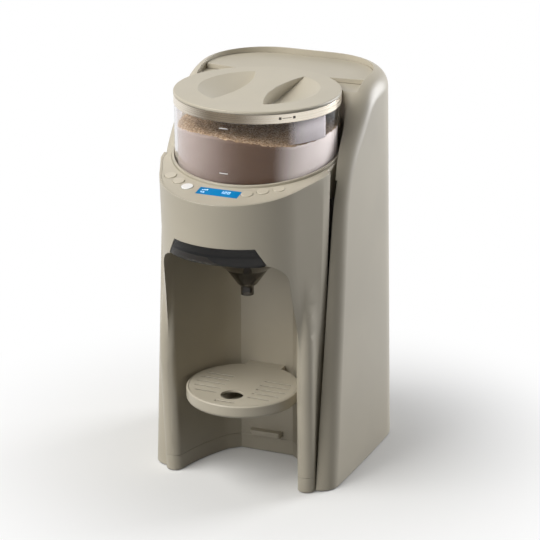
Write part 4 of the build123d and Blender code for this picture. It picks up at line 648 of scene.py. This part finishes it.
def leg_noses(node):
    """A copy of a moulding whose legs have round fronts: cut level by level and in a fan of planes
    round each round's axis, then drawn in."""
    form = bmesh.new()
    form.from_mesh(frame["nodes"][node].data)
    bmesh.ops.remove_doubles(form, verts=form.verts, dist=SAME_POINT)
    ends = np.array([0.0, NOSE_LEANS_TO])
    foot, head = (Vector((*centre, z)) for centre, z in zip(nose_axis(ends), ends))
    for flip in (1.0, -1.0):
        for height in NOSE_CUTS:
            bmesh.ops.bisect_plane(form, geom=near_nose(form, flip), dist=ON_PLANE,
                                   plane_co=(0.0, 0.0, height * MM), plane_no=(0.0, 0.0, 1.0))
        for turn in NOSE_FAN:
            way = Vector((cos(radians(turn)), sin(radians(turn)), 0.0))
            plane = (head - foot).cross(way).normalized()
            bmesh.ops.bisect_plane(form, geom=near_nose(form, flip), dist=ON_PLANE,
                                   plane_co=(foot.x * flip, foot.y, foot.z),
                                   plane_no=(plane.x * flip, plane.y, plane.z))
    bmesh.ops.triangulate(form, faces=form.faces)
    form.verts.index_update()
    points = np.array([v.co[:] for v in form.verts])
    faces = [[v.index for v in f.verts] for f in form.faces]
    form.free()
    slot_name = next(p["material_slot"] for p in frame["record"]["subparts"] if p["node"] == node)
    piece = new_piece("rounded_" + node, rounded(points), faces, FINISHES[slot_name], "machine")
    piece.data.set_sharp_from_angle(angle=SHARP)
    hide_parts(node)
    return piece


# ---------------------------------------------------------------- valve spring
def closing_spring():
    """The valve's spring as a copy of its mesh, riding on the tank, in place of the imported one."""
    source = frame["nodes"]["valve_spring"].data
    points = np.empty(3 * len(source.vertices))
    source.vertices.foreach_get("co", points)
    faces = [list(face.vertices) for face in source.polygons]
    piece = new_piece("closing_spring", points.reshape(-1, 3), faces, FINISHES["steel"], "tank")
    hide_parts("valve_spring")
    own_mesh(piece)
    return piece


# ---------------------------------------------------------------- powder in the hopper
POWDER_R = HOPPER_BORE_R - 0.4 * MM
POWDER_SOLE = (               # radius and height of the underside, clear of the turning wheel
    (POWDER_R, 287.9 * MM), (71.0 * MM, 287.9 * MM), (70.8 * MM, 293.6 * MM), (48.0 * MM, 293.6 * MM),
    (46.5 * MM, 321.0 * MM), (1.0 * MM, 321.0 * MM))
POWDER_EDGE = 342.5 * MM      # mean height where the powder meets the wall
POWDER_TILT = 2.0 * MM        # it rises towards one side of the hopper,
TILT_WAY = radians(-125.0)
POWDER_LOBES = 3.0 * MM       # and three times on its way round
LOBES_WAY = radians(-112.0)
POWDER_RISE = 6.0 * MM        # a low rise at its left rear, its middle and its half widths
RISE_X, RISE_Y = -30.0 * MM, 30.0 * MM
RISE_WIDE, RISE_LONG = 42.0 * MM, 45.0 * MM
CRUMBS = (
    # height, then across and along: radians per metre, how far they bend, radians per metre of the bend
    (0.5 * MM, (330.0, 2.0, 190.0), (350.0, 2.0, 170.0)),
    (0.5 * MM, (610.0, 3.0, 310.0), (570.0, 2.0, 280.0)),
)


def powder_height(x, y):
    """The powder's top: a mean level, a tilt and three lobes that grow outwards as the radius and
    its cube do, a low rise as a bell curve, two slow waves, and crumbs of three sizes, each the
    product of a sine across and a sine along, bent by a third."""
    way = np.arctan2(y - HOPPER_Y, x)
    share = np.hypot(x, y - HOPPER_Y) / POWDER_R
    level = POWDER_EDGE + POWDER_TILT * share * np.cos(way - TILT_WAY)
    level = level + POWDER_LOBES * share ** 3 * np.cos(3.0 * (way - LOBES_WAY))
    level = level + POWDER_RISE * np.exp(-(((x - RISE_X) / RISE_WIDE) ** 2 + ((y - RISE_Y) / RISE_LONG) ** 2))
    level = level + 0.9 * MM * np.sin(52.0 * x + 1.1) + 0.7 * MM * np.sin(64.0 * y + 31.0 * x)
    for tall, (wave, bend, curl), (far, sway, roll) in CRUMBS:
        level = level + (tall * np.sin(wave * x + bend * np.sin(curl * y))
                         * np.sin(far * y + sway * np.sin(roll * x)))
    return level + 0.4 * MM * np.sin(1270.0 * x + 900.0 * y) * np.sin(1130.0 * y - 760.0 * x)


def powder_heap():
    """The powder as a closed body: rings of the top surface out to the wall, the wall down to
    the hopper's floor, and the underside's rings back in over the wheel, round the hopper's axis."""
    turns, rings = 240, 60
    angle = np.linspace(0.0, 2.0 * pi, turns, endpoint=False)
    spread = np.linspace(0.0, 1.0, rings + 1)[1:] * POWDER_R
    x = spread[:, None] * np.cos(angle)
    y = spread[:, None] * np.sin(angle) + HOPPER_Y
    top = np.stack([x, y, powder_height(x, y)], axis=-1)
    foot = POWDER_SOLE[0][1]
    wall = np.stack([np.stack([x[-1], y[-1], top[-1, :, 2] * (1 - t) + foot * t], axis=-1)
                     for t in (0.06, 0.35, 0.7)])
    under = np.stack([np.stack([r * np.cos(angle), r * np.sin(angle) + HOPPER_Y,
                                np.full(turns, z)], axis=-1) for r, z in POWDER_SOLE])
    centre = np.array([[0.0, HOPPER_Y, float(powder_height(0.0, HOPPER_Y))],
                       [0.0, HOPPER_Y, POWDER_SOLE[-1][1]]])
    grid = np.concatenate([top, wall, under])
    rows = len(grid)
    points = np.concatenate([grid.reshape(-1, 3), centre])
    first = np.arange(turns)
    following = (first + 1) % turns
    crown = np.full(turns, rows * turns)
    last = (rows - 1) * turns
    fans = np.concatenate([np.stack([crown, first, following], axis=-1),
                           np.stack([crown + 1, last + following, last + first], axis=-1)])
    faces = grid_faces(rows, turns, True)[:, ::-1].tolist() + fans.tolist()
    return new_piece("powder_heap", points, faces, powder_finish(), "container")


# where the painted glare veil lies on the hopper's wall
GLARE_LOW = 341.0 * MM
GLARE_HIGH = 362.5 * MM
GLARE_FROM, GLARE_TO = -52.0, -12.5    # degrees round the hopper


def painted_glare_veil():
    """A painted glare on the hopper's wall, as a thin pale slab just inside its bore."""
    points, faces = arc_slab(POWDER_R, HOPPER_Y, GLARE_FROM, GLARE_TO, GLARE_LOW, GLARE_HIGH, 0.2 * MM, 30)
    return new_piece("painted_glare_veil", points, faces, glare_veil_finish(), "container")


# ---------------------------------------------------------------- marks
TICK_HIGH = 356.5 * MM
TICK_LOW = 314.5 * MM
TICK_TALL = 0.8 * MM
TICK_FROM, TICK_TO = -94.0, -87.8   # degrees round the hopper
INK = 0.06 * MM


def level_ticks():
    """Two short printed lines on the hopper's wall, for its highest and lowest fill."""
    parts = [arc_slab(HOPPER_R + 0.02 * MM, HOPPER_Y, TICK_FROM, TICK_TO, z, z + TICK_TALL, INK)
             for z in (TICK_LOW, TICK_HIGH)]
    points, faces = joined(parts)
    return new_piece("level_ticks", points, faces, print_finish("white_ink", (0.85, 0.85, 0.84)),
                     "container")


def lock_marks():
    """Plain turn marks on the band: a dot, a thin bar and a second dot, each a span of degrees
    round the hopper between two heights."""
    low, high, inset = 366.3 * MM, 368.6 * MM, 0.9 * MM
    spans = ((-53.2, -51.4, low, high), (-50.6, -44.2, low + inset, high - inset),
             (-43.2, -41.4, low, high))
    points, faces = joined([arc_slab(BAND_R, HOPPER_Y, a, b, z0, z1, INK) for a, b, z0, z1 in spans])
    return new_piece("lock_marks", points, faces, print_finish("dark_ink", (0.10, 0.085, 0.07)),
                     "container")


SEGMENTS = {"0": "abcdef", "1": "bc", "2": "abdeg", "4": "bcfg", "5": "acdfg"}


def seven_segments(text, left, bottom, tall, stroke):
    """Flat digits of seven bars each, as rectangles (x0, y0, x1, y1) in the display's plane."""
    wide = 0.52 * tall
    half = 0.5 * tall
    bars = {"a": (0, tall - stroke, wide, tall), "g": (0, half - stroke / 2, wide, half + stroke / 2),
            "d": (0, 0, wide, stroke), "f": (0, half, stroke, tall), "b": (wide - stroke, half, wide, tall),
            "e": (0, 0, stroke, half), "c": (wide - stroke, 0, wide, half)}
    boxes = []
    for place, digit in enumerate(text):
        shift = left + place * (wide + 0.24 * tall)
        boxes += [(bars[s][0] + shift, bars[s][1] + bottom, bars[s][2] + shift, bars[s][3] + bottom)
                  for s in SEGMENTS[digit]]
    return boxes


def on_window(x, y, lift):
    """A point of the display, x across and y up the slope from its centre, lifted off its glass."""
    return (x, SCREEN_Y + y * cos(PANEL_SLOPE) - lift * sin(PANEL_SLOPE),
            PANEL_Z0 + tan(PANEL_SLOPE) * SCREEN_Y + y * sin(PANEL_SLOPE) + lift * cos(PANEL_SLOPE))


def display_digits():
    """Plain digits and bars lit on the display, as thin plates on its glass."""
    boxes = seven_segments("120", 1.5 * MM, -0.9 * MM, 4.4 * MM, 0.55 * MM)
    boxes += seven_segments("45", -17.0 * MM, -3.8 * MM, 3.0 * MM, 0.42 * MM)
    boxes += [(-17.0 * MM + i * 1.5 * MM, 1.5 * MM, -16.1 * MM + i * 1.5 * MM, (2.4 + 0.5 * i) * MM)
              for i in range(4)]
    sides = [[3, 2, 1, 0], [4, 5, 6, 7], [0, 1, 5, 4], [1, 2, 6, 5], [2, 3, 7, 6], [3, 0, 4, 7]]
    parts = []
    for x0, y0, x1, y1 in boxes:
        corners = ((x0, y0), (x1, y0), (x1, y1), (x0, y1))
        parts.append(([on_window(x, y, lift) for lift in (0.0, INK) for x, y in corners], sides))
    points, faces = joined(parts)
    return new_piece("display_digits", points, faces, print_finish("lit_digits", (0.55, 0.80, 0.98), 0.6),
                     "machine")


# ---------------------------------------------------------------- studio
def studio():
    """Camera, soft lamps, a white surround that lights matt surfaces dimly, and a pale floor."""
    scene = bpy.context.scene
    scene.view_settings.view_transform = "Standard"
    camera = bpy.data.objects.new("camera", bpy.data.cameras.new("camera"))
    camera.data.lens = CAMERA_LENS
    camera.data.sensor_width = 36.0
    camera.data.clip_end = 60.0
    camera.location = CAMERA_AT
    camera.rotation_euler = (Vector(CAMERA_AIM) - Vector(CAMERA_AT)).to_track_quat("-Z", "Y").to_euler()
    scene.collection.objects.link(camera)
    scene.camera = camera
    for name, place, aim, wide, tall, watts, colour in LAMPS:
        data = bpy.data.lights.new(name, "AREA")
        data.shape = "RECTANGLE"
        data.size = wide
        data.size_y = tall
        data.energy = watts
        data.color = colour
        lamp = bpy.data.objects.new(name, data)
        lamp.location = place
        lamp.rotation_euler = (Vector(aim) - Vector(place)).to_track_quat("-Z", "Y").to_euler()
        scene.collection.objects.link(lamp)
    world = bpy.data.worlds.new("white_surround")
    world.use_nodes = True
    scene.world = world
    tree = Tree(world.node_tree)
    colour = tree.mixed(seen_plain(tree), (AMBIENT, AMBIENT, AMBIENT * 0.98, 1.0), WHITE)
    background = tree.add("Background", {"Color": colour, "Strength": 1.0})
    close(tree, background.outputs[0], "OutputWorld")
    floor()


def floor():
    """A round pale floor: near the machine it takes the lamps and the shadow, farther out it
    shows as plain white to the camera, to gloss and to glass."""
    turns = 96
    angle = np.linspace(0.0, 2.0 * pi, turns, endpoint=False)
    radii = np.array([0.2, 0.5, 1.2, 3.0, FLOOR_R])
    points = np.stack([radii[:, None] * np.cos(angle), radii[:, None] * np.sin(angle),
                       np.zeros((len(radii), turns))], axis=-1).reshape(-1, 3)
    faces = grid_faces(len(radii), turns, True).tolist() + [list(range(turns))]
    mesh = bpy.data.meshes.new("studio_floor")
    mesh.from_pydata(points.tolist(), [], faces)
    mesh.update()
    ground = bpy.data.objects.new("studio_floor", mesh)
    bpy.context.scene.collection.objects.link(ground)
    material, tree = new_material("white_floor")
    far = tree.add("VectorMath", {0: tree.place()}, operation="LENGTH").outputs["Value"]
    plain = tree.between(far, SHADOW_NEAR, SHADOW_FAR, FLOOR_GLOW, 1.0)
    matt = tree.add("BsdfDiffuse", {"Color": rgba(FLOOR_GREY)})
    pale = tree.add("BsdfDiffuse", {"Color": rgba(FLOOR_PALE)})
    white = tree.add("Emission", {"Color": WHITE, "Strength": 1.0})
    shown = tree.add("MixShader", {0: plain, 1: pale.outputs[0], 2: white.outputs[0]})
    mix = tree.add("MixShader", {0: seen_plain(tree), 1: matt.outputs[0], 2: shown.outputs[0]})
    close(tree, mix.outputs[0])
    mesh.materials.append(material)


# ---------------------------------------------------------------- the whole scene
studio()

for part in frame["record"]["subparts"]:
    slots = frame["nodes"][part["node"]].data.materials
    slots.clear()
    slots.append(FINISHES[part["material_slot"]])

for moulding in ("front_housing", "base_frame"):
    leg_noses(moulding)
closing_spring()
powder_heap()
painted_glare_veil()
level_ticks()
lock_marks()
display_digits()
